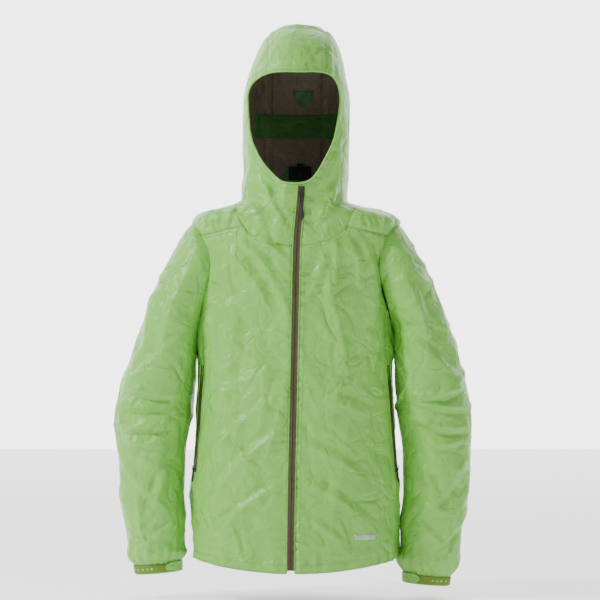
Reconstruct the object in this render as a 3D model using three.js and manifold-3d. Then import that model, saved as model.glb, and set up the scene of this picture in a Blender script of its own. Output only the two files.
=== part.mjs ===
// Hooded hardshell jacket, hanging as worn, millimetres, +Z up, front towards -Y, wearer's left at +X.
// Every fabric layer is a thin solid cut from one smooth body form, so neighbours share their seams.
import * as THREE from 'three';
import Module from 'manifold-3d';
import { mergeVertices } from 'three/addons/utils/BufferGeometryUtils.js';

const wasm = await Module();
wasm.setup();

// ------------------------------------------------------------------ driving dimensions
const GAP = 0.3;                 // clearance between pieces that touch
const WALL = 3;                  // shell fabric with its seam allowances
const LAYER = 0.9;               // one thin inner layer: tape, patch, label, pocket bag
const FAR = 600;                 // reach of a cutting prism past the jacket
const RING_POINTS = 30;          // facets round the body
const SLEEVE_POINTS = 18;        // facets round a sleeve
const SQUARENESS = 2.3;          // superellipse exponent of a body section

// heights, from the level of the lower cuff edge
const HEM_Z = 30;                // hem at the front zip
const HEM_RISE = 22;             // hem is higher at the side seams
const HIP_Z = 165;
const POCKET_Z = 203;            // lower end of the hand pocket zips
const WAIST_Z = 330;
const ARMPIT_Z = 495;
const SHOULDER_Z = 634;          // shoulder tip
const NECK_Z = 668;              // where the shoulder meets the neck
const NAPE_Z = 700;              // neck seam at the back
const CHIN_Z = 700;              // top of the main zip
const TEMPLE_Z = 860;            // widest level of the face opening
const BRIM_Z = 892;              // top edge of the face opening
const HOOD_TOP_Z = 978;

// half widths along X
const HEM_HALF = 179;
const HIP_HALF = 181.5;
const WAIST_HALF = 169;
const SHOULDER_HALF = 180;
const NECK_HALF = 91;
const HOOD_HALF = 92.5;
const HOOD_TOP_HALF = 36;
const HOOD_LEAN = 8;             // the hood's top leans this far towards +X

// depths along Y
const HEM_FRONT = 122;
const CHIN_FRONT = 95;
const BRIM_FRONT = 118;
const HEM_BACK = 112;
const WAIST_BACK = 100;
const CHEST_BACK = 118;
const NECK_BACK = 76;
const HOOD_BACK = 138;

// main zip, a straight run up the front
const ZIP_X_BOTTOM = -8;
const ZIP_X_TOP = 11;
const ZIP_BOTTOM_Z = 36;
const ZIP_SLOT_HALF = 6.3;
const ZIP_CREASE_HALF = 0.6;     // between the two tape edges
const TAPE_THICK = 1.2;
const COIL_WIDTH = 2.6;
const COIL_THICK = 2;
const SLIDER_LENGTH = 14;
const SLIDER_WIDTH = 9;
const BOX_LENGTH = 10;           // retainer box at the lower end
const STOP_LENGTH = 4;

// hand pocket zips
const POCKET_LENGTH = 182;
const POCKET_X_BOTTOM = 174.5;
const POCKET_X_TOP = 161;
const POCKET_ZIP_HALF = 3;
const POCKET_SLIDER_LENGTH = 11;

// cuffs
const CUFF_TAB_OPEN_ANGLE = 108; // free end of the tab, from the outer side round the front
const CUFF_TAB_ROOT_ANGLE = 172; // sewn end of the tab

// finishes
const FINISHES = {
  shell: { color: 0x92c573, roughness: 0.5, metalness: 0 },
  lining: { color: 0x6b6152, roughness: 0.7, metalness: 0 },
  tape: { color: 0x4c4526, roughness: 0.6, metalness: 0 },
  coil: { color: 0x3a3520, roughness: 0.5, metalness: 0 },
  slider: { color: 0x5e5a4e, roughness: 0.4, metalness: 0.8 },
  pull: { color: 0x1d2a18, roughness: 0.5, metalness: 0 },
  strip: { color: 0x75962f, roughness: 0.6, metalness: 0 },
  label: { color: 0x17161a, roughness: 0.8, metalness: 0 },
  reflective: { color: 0xb9c9b0, roughness: 0.35, metalness: 0.2 },
};

// ------------------------------------------------------------------ small maths
// Smooth curve through [place, value] stations that never overshoots them.
function through(stations) {
  const xs = stations.map((s) => s[0]);
  const ys = stations.map((s) => s[1]);
  const slopes = xs.map((_, i) => {
    if (i === 0 || i === xs.length - 1) return 0;
    const before = (ys[i] - ys[i - 1]) / (xs[i] - xs[i - 1]);
    const after = (ys[i + 1] - ys[i]) / (xs[i + 1] - xs[i]);
    return before * after <= 0 ? 0 : (2 * before * after) / (before + after);
  });
  return (x) => {
    if (x <= xs[0]) return ys[0];
    if (x >= xs[xs.length - 1]) return ys[ys.length - 1];
    const i = xs.findIndex((right) => right >= x) - 1;
    const h = xs[i + 1] - xs[i];
    const t = (x - xs[i]) / h;
    const a = ys[i] * (1 + 2 * t) * (1 - t) ** 2 + slopes[i] * h * t * (1 - t) ** 2;
    return a + ys[i + 1] * t * t * (3 - 2 * t) + slopes[i + 1] * h * t * t * (t - 1);
  };
}

const signedPower = (value, power) => Math.sign(value) * Math.abs(value) ** power;
const radians = THREE.MathUtils.degToRad;

// ------------------------------------------------------------------ solids from three.js geometry
function toSolid(geometry) {
  const bare = new THREE.BufferGeometry();
  bare.setAttribute('position', geometry.getAttribute('position'));
  if (geometry.index) bare.setIndex(geometry.index);
  const merged = mergeVertices(bare, 1e-4);
  const vertProperties = new Float32Array(merged.getAttribute('position').array);
  const triVerts = new Uint32Array(merged.index.array);
  return new wasm.Manifold(new wasm.Mesh({ numProp: 3, vertProperties, triVerts }));
}

function toGeometry(solid) {
  const { vertProperties, triVerts } = solid.getMesh();
  const geometry = new THREE.BufferGeometry();
  geometry.setAttribute('position', new THREE.BufferAttribute(new Float32Array(vertProperties), 3));
  geometry.setIndex(new THREE.BufferAttribute(new Uint32Array(triVerts), 1));
  geometry.computeVertexNormals();
  return geometry;
}

// The biggest body of a solid: a cut can leave a crumb behind at a seam's end.
function mainBody(solid) {
  return solid.decompose().reduce((best, piece) => (piece.volume() > best.volume() ? piece : best));
}

const join = (...solids) => solids.reduce((sum, solid) => sum.add(solid));

// Closed solid through rings of points, with a fan over each end.
function loft(rings) {
  const count = rings[0].length;
  const points = rings.flat();
  const faces = [];
  for (let i = 0; i < rings.length - 1; i += 1) {
    for (let j = 0; j < count; j += 1) {
      const a = i * count + j;
      const b = i * count + ((j + 1) % count);
      faces.push(a, b, b + count, a, b + count, a + count);
    }
  }
  const last = (rings.length - 1) * count;
  for (let j = 1; j < count - 1; j += 1) {
    faces.push(0, j + 1, j);
    faces.push(last, last + j, last + j + 1);
  }
  const volume = (p, q, r) => p.dot(new THREE.Vector3().crossVectors(q, r));
  let total = 0;
  for (let k = 0; k < faces.length; k += 3) {
    total += volume(points[faces[k]], points[faces[k + 1]], points[faces[k + 2]]);
  }
  if (total < 0) faces.reverse();
  const geometry = new THREE.BufferGeometry().setFromPoints(points);
  geometry.setIndex(faces);
  return toSolid(geometry);
}

// Prism along Y of an outline drawn in the front view, as [x, z] points.
function prismAlongY(outline, yFrom, yTo) {
  const shape = new THREE.Shape(outline.map(([x, z]) => new THREE.Vector2(x, z)));
  const geometry = new THREE.ExtrudeGeometry(shape, { depth: yTo - yFrom, bevelEnabled: false });
  geometry.rotateX(Math.PI / 2);
  geometry.translate(0, yTo, 0);
  return toSolid(geometry);
}

// Prism along X of an outline drawn in the side view, as [y, z] points.
function prismAlongX(outline, xFrom, xTo) {
  const shape = new THREE.Shape(outline.map(([y, z]) => new THREE.Vector2(y, z)));
  const geometry = new THREE.ExtrudeGeometry(shape, { depth: xTo - xFrom, bevelEnabled: false });
  const turn = new THREE.Matrix4().set(0, 0, 1, xFrom, 1, 0, 0, 0, 0, 1, 0, 0, 0, 0, 0, 1);
  geometry.applyMatrix4(turn);
  return toSolid(geometry);
}

const rectangle = (a0, a1, b0, b1) => [[a0, b0], [a1, b0], [a1, b1], [a0, b1]];
const mirrorX = (outline) => outline.map(([x, z]) => [-x, z]);
const shiftOutline = (outline, da, db) => outline.map(([a, b]) => [a + da, b + db]);

// ------------------------------------------------------------------ body form
const halfWidth = through([
  [HEM_Z, HEM_HALF], [HIP_Z, HIP_HALF], [(HIP_Z + WAIST_Z) / 2, (HIP_HALF + WAIST_HALF) / 2 - 2],
  [WAIST_Z, WAIST_HALF], [ARMPIT_Z, WAIST_HALF + 0.5], [SHOULDER_Z - 40, SHOULDER_HALF - 4],
  [SHOULDER_Z, SHOULDER_HALF], [SHOULDER_Z + 12, SHOULDER_HALF - 8], [NECK_Z - 10, NECK_HALF + 44],
  [NECK_Z, NECK_HALF + 6], [NECK_Z + 6, NECK_HALF], [CHIN_Z + 60, HOOD_HALF],
  [TEMPLE_Z - 10, HOOD_HALF - 1], [BRIM_Z + 8, HOOD_HALF - 10], [BRIM_Z + 48, HOOD_TOP_HALF + 34],
  [HOOD_TOP_Z - 10, HOOD_TOP_HALF + 17], [HOOD_TOP_Z, HOOD_TOP_HALF],
]);
const zipDepth = (z) => HEM_FRONT + ((CHIN_FRONT - HEM_FRONT) * (z - HEM_Z)) / (CHIN_Z - HEM_Z);
const hoodFront = through([
  [CHIN_Z, CHIN_FRONT], [CHIN_Z + 60, CHIN_FRONT + 4], [TEMPLE_Z, BRIM_FRONT - 10],
  [BRIM_Z, BRIM_FRONT], [BRIM_Z + 38, BRIM_FRONT - 16], [HOOD_TOP_Z - 18, BRIM_FRONT - 50],
  [HOOD_TOP_Z, BRIM_FRONT - 80],
]);
const frontDepth = (z) => (z < CHIN_Z ? zipDepth(z) : hoodFront(z));
const backDepth = through([
  [HEM_Z, HEM_BACK], [WAIST_Z, WAIST_BACK], [ARMPIT_Z + 25, CHEST_BACK],
  [SHOULDER_Z, CHEST_BACK - 20], [NECK_Z, NECK_BACK + 6], [NAPE_Z, NECK_BACK],
  [NAPE_Z + 60, NECK_BACK + 22], [TEMPLE_Z, HOOD_BACK], [BRIM_Z + 30, HOOD_BACK - 22],
  [HOOD_TOP_Z - 18, HOOD_BACK - 70], [HOOD_TOP_Z, HOOD_BACK - 112],
]);
const lean = through([[CHIN_Z, 2], [TEMPLE_Z, 2], [HOOD_TOP_Z, HOOD_LEAN]]);
const RING_LEVELS = [
  HEM_Z - 24, HEM_Z + 70, HIP_Z, HIP_Z + 80, WAIST_Z, ARMPIT_Z, SHOULDER_Z - 60, SHOULDER_Z - 20,
  SHOULDER_Z, SHOULDER_Z + 12, NECK_Z - 10, NECK_Z, NECK_Z + 6, CHIN_Z, CHIN_Z + 60, CHIN_Z + 110,
  TEMPLE_Z, BRIM_Z, BRIM_Z + 24, BRIM_Z + 46, HOOD_TOP_Z - 18, HOOD_TOP_Z - 6, HOOD_TOP_Z,
];

// One level section of the body form, moved outwards by `offset` along the side profile's normal.
function bodyRing(z, offset) {
  const slope = (halfWidth(z + 1) - halfWidth(z - 1)) / 2;
  const across = 1 / Math.hypot(1, slope);
  const level = z - offset * slope * across;
  const half = halfWidth(z) + offset * across;
  const front = frontDepth(z) + offset;
  const back = backDepth(z) + offset * across;
  return Array.from({ length: RING_POINTS }, (_, j) => {
    const angle = (2 * Math.PI * (j + 0.5)) / RING_POINTS;
    const x = half * signedPower(Math.cos(angle), 2 / SQUARENESS);
    const s = signedPower(Math.sin(angle), 2 / SQUARENESS);
    return new THREE.Vector3(lean(z) * (z > CHIN_Z ? 1 : 0) + x, s < 0 ? front * s : back * s, level);
  });
}

const bodySolids = new Map();
function bodySolid(offset) {
  if (!bodySolids.has(offset)) {
    const rings = RING_LEVELS.map((z) => bodyRing(z, offset));
    if (offset < 0) rings[0].forEach((p) => { p.z -= 20; });
    bodySolids.set(offset, loft(rings));
  }
  return bodySolids.get(offset);
}
const bodyShell = (outer, inner) => bodySolid(outer).subtract(bodySolid(inner));

// ------------------------------------------------------------------ sleeve form
// Stations from the armhole to the wrist: the outer edge, the inner edge and the half depth.
const SLEEVE_STATIONS = [
  { outer: [SHOULDER_HALF - 30, SHOULDER_Z + 8], inner: [WAIST_HALF - 41, ARMPIT_Z + 10], depth: 58 },
  { outer: [SHOULDER_HALF, SHOULDER_Z], inner: [WAIST_HALF - 24, ARMPIT_Z], depth: 66 },
  { outer: [SHOULDER_HALF + 34, SHOULDER_Z - 57], inner: [WAIST_HALF - 11, ARMPIT_Z - 17], depth: 72 },
  { outer: [SHOULDER_HALF + 60, SHOULDER_Z - 114], inner: [WAIST_HALF + 3, ARMPIT_Z - 50], depth: 74 },
  { outer: [SHOULDER_HALF + 83, SHOULDER_Z - 170], inner: [WAIST_HALF + 5, ARMPIT_Z - 94], depth: 73 },
  { outer: [SHOULDER_HALF + 105, SHOULDER_Z - 230], inner: [WAIST_HALF + 6, ARMPIT_Z - 134], depth: 70 },
  { outer: [SHOULDER_HALF + 122, SHOULDER_Z - 284], inner: [WAIST_HALF + 9, ARMPIT_Z - 170], depth: 65 },
  { outer: [SHOULDER_HALF + 132, SHOULDER_Z - 329], inner: [WAIST_HALF + 13, ARMPIT_Z - 206], depth: 61 },
  { outer: [SHOULDER_HALF + 129, SHOULDER_Z - 394], inner: [WAIST_HALF + 16, ARMPIT_Z - 257], depth: 57 },
  { outer: [SHOULDER_HALF + 122, SHOULDER_Z - 484], inner: [HIP_HALF + 6, ARMPIT_Z - 343], depth: 53 },
  { outer: [SHOULDER_HALF + 111, SHOULDER_Z - 546], inner: [HIP_HALF + 8, ARMPIT_Z - 401], depth: 47 },
  { outer: [SHOULDER_HALF + 101, SHOULDER_Z - 592], inner: [HIP_HALF + 10, ARMPIT_Z - 445], depth: 41 },
];
// The arms hang a little differently: how far the wrist moves out, and how much lower it hangs.
const ARMS = [
  { name: 'right', side: -1, wristOut: 5, wristDrop: 0 },
  { name: 'left', side: 1, wristOut: -6, wristDrop: 20 },
];
const CUFF_STATIONS = [
  { down: 0, squeeze: 0 },
  { down: 5, squeeze: 3.5 },
  { down: 22, squeeze: 5 },
];

function armPoint(arm, [x, z], station) {
  const reach = (station / (SLEEVE_STATIONS.length - 1)) ** 3;
  return new THREE.Vector3(arm.side * (x + arm.wristOut * reach), 0, z - arm.wristDrop * reach);
}

// One section of a sleeve or cuff, in the plane of its two edge points and the Y direction.
function armRing(outer, inner, depth, offset) {
  const centre = outer.clone().add(inner).divideScalar(2);
  const reach = outer.clone().sub(centre);
  const width = reach.length() + offset;
  reach.normalize();
  return Array.from({ length: SLEEVE_POINTS }, (_, j) => {
    const angle = (2 * Math.PI * (j + 0.5)) / SLEEVE_POINTS;
    const point = centre.clone().addScaledVector(reach, width * Math.cos(angle));
    point.y = (depth + offset) * Math.sin(angle);
    return point;
  });
}

function sleeveSolid(arm, offset) {
  const rings = SLEEVE_STATIONS.map((s, i) => (
    armRing(armPoint(arm, s.outer, i), armPoint(arm, s.inner, i), s.depth, offset)));
  if (offset < 0) rings.push(rings.at(-1).map((p) => p.clone().add(new THREE.Vector3(0, 0, -12))));
  return loft(rings);
}

// Wrist frame: the two edge points of the sleeve's end and the direction down the arm.
function wrist(arm) {
  const last = SLEEVE_STATIONS.length - 1;
  const outer = armPoint(arm, SLEEVE_STATIONS[last].outer, last);
  const inner = armPoint(arm, SLEEVE_STATIONS[last].inner, last);
  const across = outer.clone().sub(inner).normalize();
  const down = new THREE.Vector3(arm.side * across.z, 0, -Math.abs(across.x));
  return { outer, inner, across, down, depth: SLEEVE_STATIONS[last].depth };
}

function cuffRing(arm, down, squeeze, offset) {
  const w = wrist(arm);
  const outer = w.outer.clone().addScaledVector(w.down, down).addScaledVector(w.across, -squeeze);
  const inner = w.inner.clone().addScaledVector(w.down, down).addScaledVector(w.across, squeeze);
  return armRing(outer, inner, w.depth - squeeze, offset);
}

function cuffSolid(arm, offset, from = GAP) {
  const rings = CUFF_STATIONS.map((s, i) => cuffRing(arm, s.down + (i ? 0 : from), s.squeeze, offset));
  if (offset < 0) {
    rings.unshift(rings[0].map((p) => p.clone().add(new THREE.Vector3(0, 0, 4))));
    rings.push(rings.at(-1).map((p) => p.clone().add(new THREE.Vector3(0, 0, -8))));
  }
  return loft(rings);
}

// ------------------------------------------------------------------ local frames
// Local X runs across, local Y into the jacket and local Z up along the piece.
function frameAt(origin, up, outward) {
  const z = up.clone().normalize();
  const inward = outward.clone().negate();
  const y = inward.addScaledVector(z, -inward.dot(z)).normalize();
  const x = new THREE.Vector3().crossVectors(y, z);
  return new THREE.Matrix4().makeBasis(x, y, z).setPosition(origin);
}

function block(frame, [x0, x1], [y0, y1], [z0, z1]) {
  const geometry = new THREE.BoxGeometry(x1 - x0, y1 - y0, z1 - z0);
  geometry.translate((x0 + x1) / 2, (y0 + y1) / 2, (z0 + z1) / 2);
  return toSolid(geometry.applyMatrix4(frame));
}

// Prism of a local [x, z] outline, between two local depths.
function plate(frame, outline, y0, y1) {
  const shape = new THREE.Shape(outline.map(([x, z]) => new THREE.Vector2(x, z)));
  const geometry = new THREE.ExtrudeGeometry(shape, { depth: y1 - y0, bevelEnabled: false });
  geometry.rotateX(Math.PI / 2);
  geometry.translate(0, y1, 0);
  return toSolid(geometry.applyMatrix4(frame));
}

const axisOf = (frame, column) => new THREE.Vector3().setFromMatrixColumn(frame, column);

// ------------------------------------------------------------------ seams and openings of the shell
const seamSide = through([
  [HEM_Z, HEM_HALF - 5], [HIP_Z, HIP_HALF - 5.5], [POCKET_Z, POCKET_X_BOTTOM],
]);
const seamSideUpper = through([
  [POCKET_Z + POCKET_LENGTH, POCKET_X_TOP], [ARMPIT_Z, POCKET_X_TOP], [SHOULDER_Z, POCKET_X_TOP + 12],
]);

function faceOutline() {
  const corners = [
    [-41, BRIM_Z], [8, BRIM_Z + 1], [50, BRIM_Z], [71, TEMPLE_Z + 18], [78, TEMPLE_Z - 16],
    [69, CHIN_Z + 84], [52, CHIN_Z + 45], [34, CHIN_Z + 15], [15, CHIN_Z + 3], [-18, CHIN_Z + 3],
    [-37, CHIN_Z + 15], [-59, CHIN_Z + 41], [-75, CHIN_Z + 78], [-80, CHIN_Z + 118],
    [-81, TEMPLE_Z], [-68, BRIM_Z - 12],
  ];
  const curve = new THREE.CatmullRomCurve3(corners.map(([x, z]) => new THREE.Vector3(x, 0, z)), true);
  return curve.getPoints(30).slice(0, -1).map((p) => [p.x, p.z]);
}

// The same outline moved outwards all round by a distance.
function growOutline(outline, distance) {
  const centre = outline.reduce((c, [a, b]) => [c[0] + a / outline.length, c[1] + b / outline.length], [0, 0]);
  return outline.map(([a, b], i) => {
    const before = outline[(i + outline.length - 1) % outline.length];
    const after = outline[(i + 1) % outline.length];
    const normal = new THREE.Vector2(after[1] - before[1], before[0] - after[0]).normalize();
    const sign = normal.x * (a - centre[0]) + normal.y * (b - centre[1]) < 0 ? -1 : 1;
    return [a + sign * distance * normal.x, b + sign * distance * normal.y];
  });
}

// Everything above the neck seam; `lift` raises the seam to leave a gap.
function hoodRegion(lift) {
  const narrow = 1 - lift / NECK_HALF;
  const seam = [
    [NECK_HALF, NECK_Z], [NECK_HALF + 10, NECK_Z - 42], [76, NECK_Z - 55], [50, NECK_Z - 67],
    [20, NECK_Z - 74],
  ];
  const nape = [[NECK_HALF, NECK_Z], [60, NAPE_Z - 8], [25, NAPE_Z]];
  const closed = (half) => {
    const side = half.map(([x, z]) => [x * narrow, z + lift]);
    const top = [[FAR, NECK_Z + lift], [FAR, HOOD_TOP_Z + FAR], [-FAR, HOOD_TOP_Z + FAR], [-FAR, NECK_Z + lift]];
    return [...side.slice().reverse(), ...top, ...mirrorX(side)];
  };
  return join(prismAlongY(closed(seam), -FAR, 0), prismAlongY(closed(nape), 0, FAR));
}

// Everything above the yoke seams, which fall from the neck towards the armholes.
function yokeRegion(lift) {
  const fall = 0.24;
  const z0 = NECK_Z - 42 + lift;
  const half = [[NECK_HALF + 10, z0], [FAR, z0 - fall * (FAR - NECK_HALF - 10)]];
  const top = [[FAR, HOOD_TOP_Z], [-FAR, HOOD_TOP_Z]];
  return prismAlongY([...half, ...top, ...mirrorX(half).reverse()], -FAR, FAR);
}

// Between the main zip and the side seam of one front, grown sideways by `grow`.
function frontRegion(side, grow) {
  const levels = [-FAR, HEM_Z, HEM_Z + 70, HIP_Z, POCKET_Z];
  const lower = levels.map((z) => [side * (seamSide(z) + grow), z]);
  const upperLevels = [POCKET_Z + POCKET_LENGTH, ARMPIT_Z, SHOULDER_Z - 40, SHOULDER_Z, NECK_Z];
  const upper = upperLevels.map((z) => [side * (seamSideUpper(z) + grow), z]);
  const outline = [[ZIP_X_BOTTOM, -FAR], ...lower, ...upper, [ZIP_X_TOP, NECK_Z]];
  return prismAlongY(side > 0 ? outline : outline.reverse(), -FAR, 0);
}

const backRegion = (grow) => prismAlongY(rectangle(-138 - grow, 138 + grow, -FAR, NAPE_Z + FAR), 0, FAR);
const halfRegion = (side, grow) => prismAlongY(
  side > 0 ? rectangle(grow, FAR, -FAR, FAR * 2) : rectangle(-FAR, -grow, -FAR, FAR * 2), -FAR, FAR);

// Strip of the hood from the brim over the crown and down the back to the nape.
function centreRegion(half, reachForward) {
  const strip = prismAlongY(rectangle(lean(TEMPLE_Z) - half, lean(TEMPLE_Z) + half, 0, FAR * 2), -FAR, FAR);
  const path = [[20, 0], [FAR, 0], [FAR, FAR * 2], [-FAR, FAR * 2], [-FAR, reachForward], [20, reachForward]];
  return strip.intersect(prismAlongX(path, -FAR, FAR));
}

function hemCut() {
  const points = Array.from({ length: 13 }, (_, i) => {
    const x = -FAR / 2 + (i * FAR) / 12;
    return [x, HEM_Z + HEM_RISE * Math.min((x / HEM_HALF) ** 2, 1.4)];
  });
  return prismAlongY([...points.reverse(), [-FAR, -FAR], [FAR, -FAR]], -FAR, FAR);
}

const zipTop = new THREE.Vector3(ZIP_X_TOP, -zipDepth(CHIN_Z), CHIN_Z);
const zipBottom = new THREE.Vector3(ZIP_X_BOTTOM, -zipDepth(ZIP_BOTTOM_Z), ZIP_BOTTOM_Z);
const zipLength = zipTop.distanceTo(zipBottom);
const zipUp = zipTop.clone().sub(zipBottom).normalize();
const OUT = new THREE.Vector3(0, -1, 0);
const zipFrame = frameAt(zipBottom, zipUp, OUT);
const zipSlot = (half) => block(zipFrame, [-half, half], [-40, 30], [-80, zipLength + 14]);

// Hand pocket zip of one side: a straight run in the side seam.
function pocketFrame(side) {
  const at = (x, z) => {
    const share = Math.min(x / halfWidth(z), 0.995) ** SQUARENESS;
    return new THREE.Vector3(side * x, -frontDepth(z) * (1 - share) ** (1 / SQUARENESS), z);
  };
  const low = at(POCKET_X_BOTTOM, POCKET_Z);
  const high = at(POCKET_X_TOP, POCKET_Z + POCKET_LENGTH);
  const mid = low.clone().add(high).divideScalar(2);
  const normalX = (Math.abs(mid.x) / WAIST_HALF) ** (SQUARENESS - 1) / WAIST_HALF;
  const normalY = (Math.abs(mid.y) / HEM_FRONT) ** (SQUARENESS - 1) / HEM_FRONT;
  return frameAt(low, high.sub(low), new THREE.Vector3(side * normalX, -normalY, 0));
}

// ------------------------------------------------------------------ shell panels
const nodes = new Map();
const add = (name, solid, finish) => nodes.set(name, { solid: mainBody(solid), finish });

function buildShell() {
  let wall = bodyShell(0, -WALL).subtract(hemCut()).subtract(zipSlot(ZIP_SLOT_HALF));
  for (const side of [-1, 1]) {
    const length = POCKET_LENGTH;
    const half = POCKET_ZIP_HALF + GAP;
    wall = wall.subtract(block(pocketFrame(side), [-half, half], [-12, 12], [-GAP, length + GAP]));
  }
  const hood = wall.intersect(hoodRegion(GAP));
  let torso = wall.subtract(hoodRegion(0));
  for (const arm of ARMS) torso = torso.subtract(sleeveSolid(arm, -WALL));

  const yokes = torso.intersect(yokeRegion(GAP));
  const lower = torso.subtract(yokeRegion(0));
  const rest = lower.subtract(frontRegion(-1, GAP)).subtract(frontRegion(1, GAP));
  add('back_panel', rest.intersect(backRegion(0)), 'shell');
  const sides = rest.subtract(backRegion(GAP));
  for (const arm of ARMS) {
    add(`${arm.name}_front_panel`, lower.intersect(frontRegion(arm.side, 0)), 'shell');
    add(`${arm.name}_side_panel`, sides.intersect(halfRegion(arm.side, 0)), 'shell');
    add(`${arm.name}_shoulder_yoke`, yokes.intersect(halfRegion(arm.side, GAP / 2)), 'shell');
  }

  const opening = faceOutline();
  const cutFace = (grow) => prismAlongY(growOutline(opening, grow), -FAR, 0);
  const framed = hood.subtract(cutFace(5 + GAP));
  add('face_opening_binding', hood.intersect(cutFace(5)).subtract(cutFace(0)), 'shell');
  add('hood_centre_panel', framed.intersect(centreRegion(50, BRIM_Z - 20)), 'shell');
  const cheeks = framed.subtract(centreRegion(50 + GAP, BRIM_Z - 20 - GAP));
  for (const arm of ARMS) {
    add(`${arm.name}_hood_panel`, cheeks.intersect(halfRegion(arm.side, 0)), 'shell');
  }
}

// Layers under the shell, each one named distance further in.
function buildInnerLayers() {
  const layer = (depth, thick = LAYER) => bodyShell(-WALL - depth, -WALL - depth - thick);
  const first = layer(GAP);
  const second = layer(2 * GAP + LAYER);
  const insideHem = prismAlongX(rectangle(-FAR, FAR, 0, HEM_Z + HEM_RISE + 14), -FAR, FAR);
  add('hem_facing', first.subtract(hemCut()).intersect(insideHem).subtract(zipSlot(18)), 'lining');

  const crown = centreRegion(58, BRIM_Z + 4).subtract(centreRegion(42, 0));
  const tapes = first.intersect(hoodRegion(8)).intersect(crown);
  for (const arm of ARMS) add(`${arm.name}_hood_seam_tape`, tapes.intersect(halfRegion(arm.side, 0)), 'lining');

  const band = rectangle(-72, 76, CHIN_Z + 87, CHIN_Z + 131);
  add('hood_back_band', second.intersect(prismAlongY(band, 0, FAR)), 'shell');
  const halfRound = new THREE.EllipseCurve(15, CHIN_Z + 175, 19, 30, Math.PI, 2 * Math.PI);
  const patch = halfRound.getPoints(8).map((p) => [p.x, p.y]);
  add('hood_adjuster_patch', first.intersect(prismAlongY(patch, 0, FAR)), 'shell');
  const moon = new THREE.EllipseCurve(8, CHIN_Z + 4, 31, 42, 0, Math.PI);
  const nape = moon.getPoints(8).map((p) => [p.x, p.y]);
  add('nape_patch', first.intersect(prismAlongY(nape, 0, FAR)), 'shell');
  const label = rectangle(-12, 28, CHIN_Z + 14, CHIN_Z + 37);
  add('neck_label', second.intersect(prismAlongY(label, 0, FAR)), 'label');

  const brim = prismAlongX([[-FAR, BRIM_Z + 7], [-60, BRIM_Z + 7], [-60, FAR * 2], [-FAR, FAR * 2]], -34, 38);
  add('hood_brim_stiffener', first.intersect(brim), 'lining');

  const bag = [[52, 96], [66, 290], [118, 392], [146, 392], [146, 230], [150, 96]];
  for (const arm of ARMS) {
    const outline = arm.side > 0 ? bag : mirrorX(bag).reverse();
    add(`${arm.name}_pocket_bag`, first.intersect(prismAlongY(outline, -FAR, 0)), 'lining');
  }
  const bar = rectangle(101, 137, 88, 97);
  const proud = bodyShell(GAP + 0.6, GAP);
  add('reflective_bar', proud.intersect(prismAlongY(bar, -FAR, 0)), 'reflective');
}

// Hanging loop: a strap sewn down above and below the label, standing clear of it in between.
const LOOP = { x: 8, width: 11, top: CHIN_Z + 42, bottom: CHIN_Z + 6, stand: 10, thick: 1.1, seat: 4 };
const skin = (z, depth) => [backDepth(z) - WALL - 2 * GAP - LAYER - 0.25 - depth, z];
function buildHangingLoop() {
  const { top, bottom, stand, thick, seat } = LOOP;
  const outer = [
    skin(top, 0), skin(top - seat, 0), skin(top - seat - 6, stand - 1), skin((top + bottom) / 2, stand),
    skin(bottom + seat + 6, stand - 1), skin(bottom + seat, 0), skin(bottom, 0),
  ];
  const inner = outer.map(([y, z]) => [y - thick, z]);
  const outline = [...outer, ...inner.reverse()];
  const half = LOOP.width / 2;
  add('hanging_loop', prismAlongX(outline, LOOP.x - half, LOOP.x + half), 'label');
}

// ------------------------------------------------------------------ sleeves and cuffs
function buildSleeve(arm) {
  const tube = sleeveSolid(arm, 0).subtract(sleeveSolid(arm, -WALL));
  const sleeve = mainBody(tube.subtract(bodySolid(GAP)));
  const split = (from, to) => sleeve.intersect(prismAlongY(rectangle(-FAR, FAR, -FAR, FAR * 2), from, to));
  add(`${arm.name}_sleeve_front`, split(-FAR, -GAP / 2), 'shell');
  add(`${arm.name}_sleeve_back`, split(GAP / 2, FAR), 'shell');
}

// Frame of a cuff: local X outwards across the wrist, local Z up the arm.
function cuffFrame(arm) {
  const w = wrist(arm);
  const centre = w.outer.clone().add(w.inner).divideScalar(2);
  const z = w.down.clone().negate();
  const y = new THREE.Vector3().crossVectors(z, w.across);
  return new THREE.Matrix4().makeBasis(w.across, y, z).setPosition(centre);
}

// Wedge of a cuff between two angles: 0 is the outer side and 90 the front.
function cuffSector(arm, from, to, downFrom, downTo) {
  const front = arm.side > 0 ? -1 : 1;
  const steps = Math.ceil((to - from) / 20);
  const rim = Array.from({ length: steps + 1 }, (_, i) => {
    const angle = radians(from + ((to - from) * i) / steps);
    return new THREE.Vector2(150 * Math.cos(angle), front * 150 * Math.sin(angle));
  });
  const shape = new THREE.Shape([new THREE.Vector2(0, 0), ...rim]);
  const geometry = new THREE.ExtrudeGeometry(shape, { depth: downTo - downFrom, bevelEnabled: false });
  geometry.translate(0, 0, -downTo);
  return toSolid(geometry.applyMatrix4(cuffFrame(arm)));
}

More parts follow.
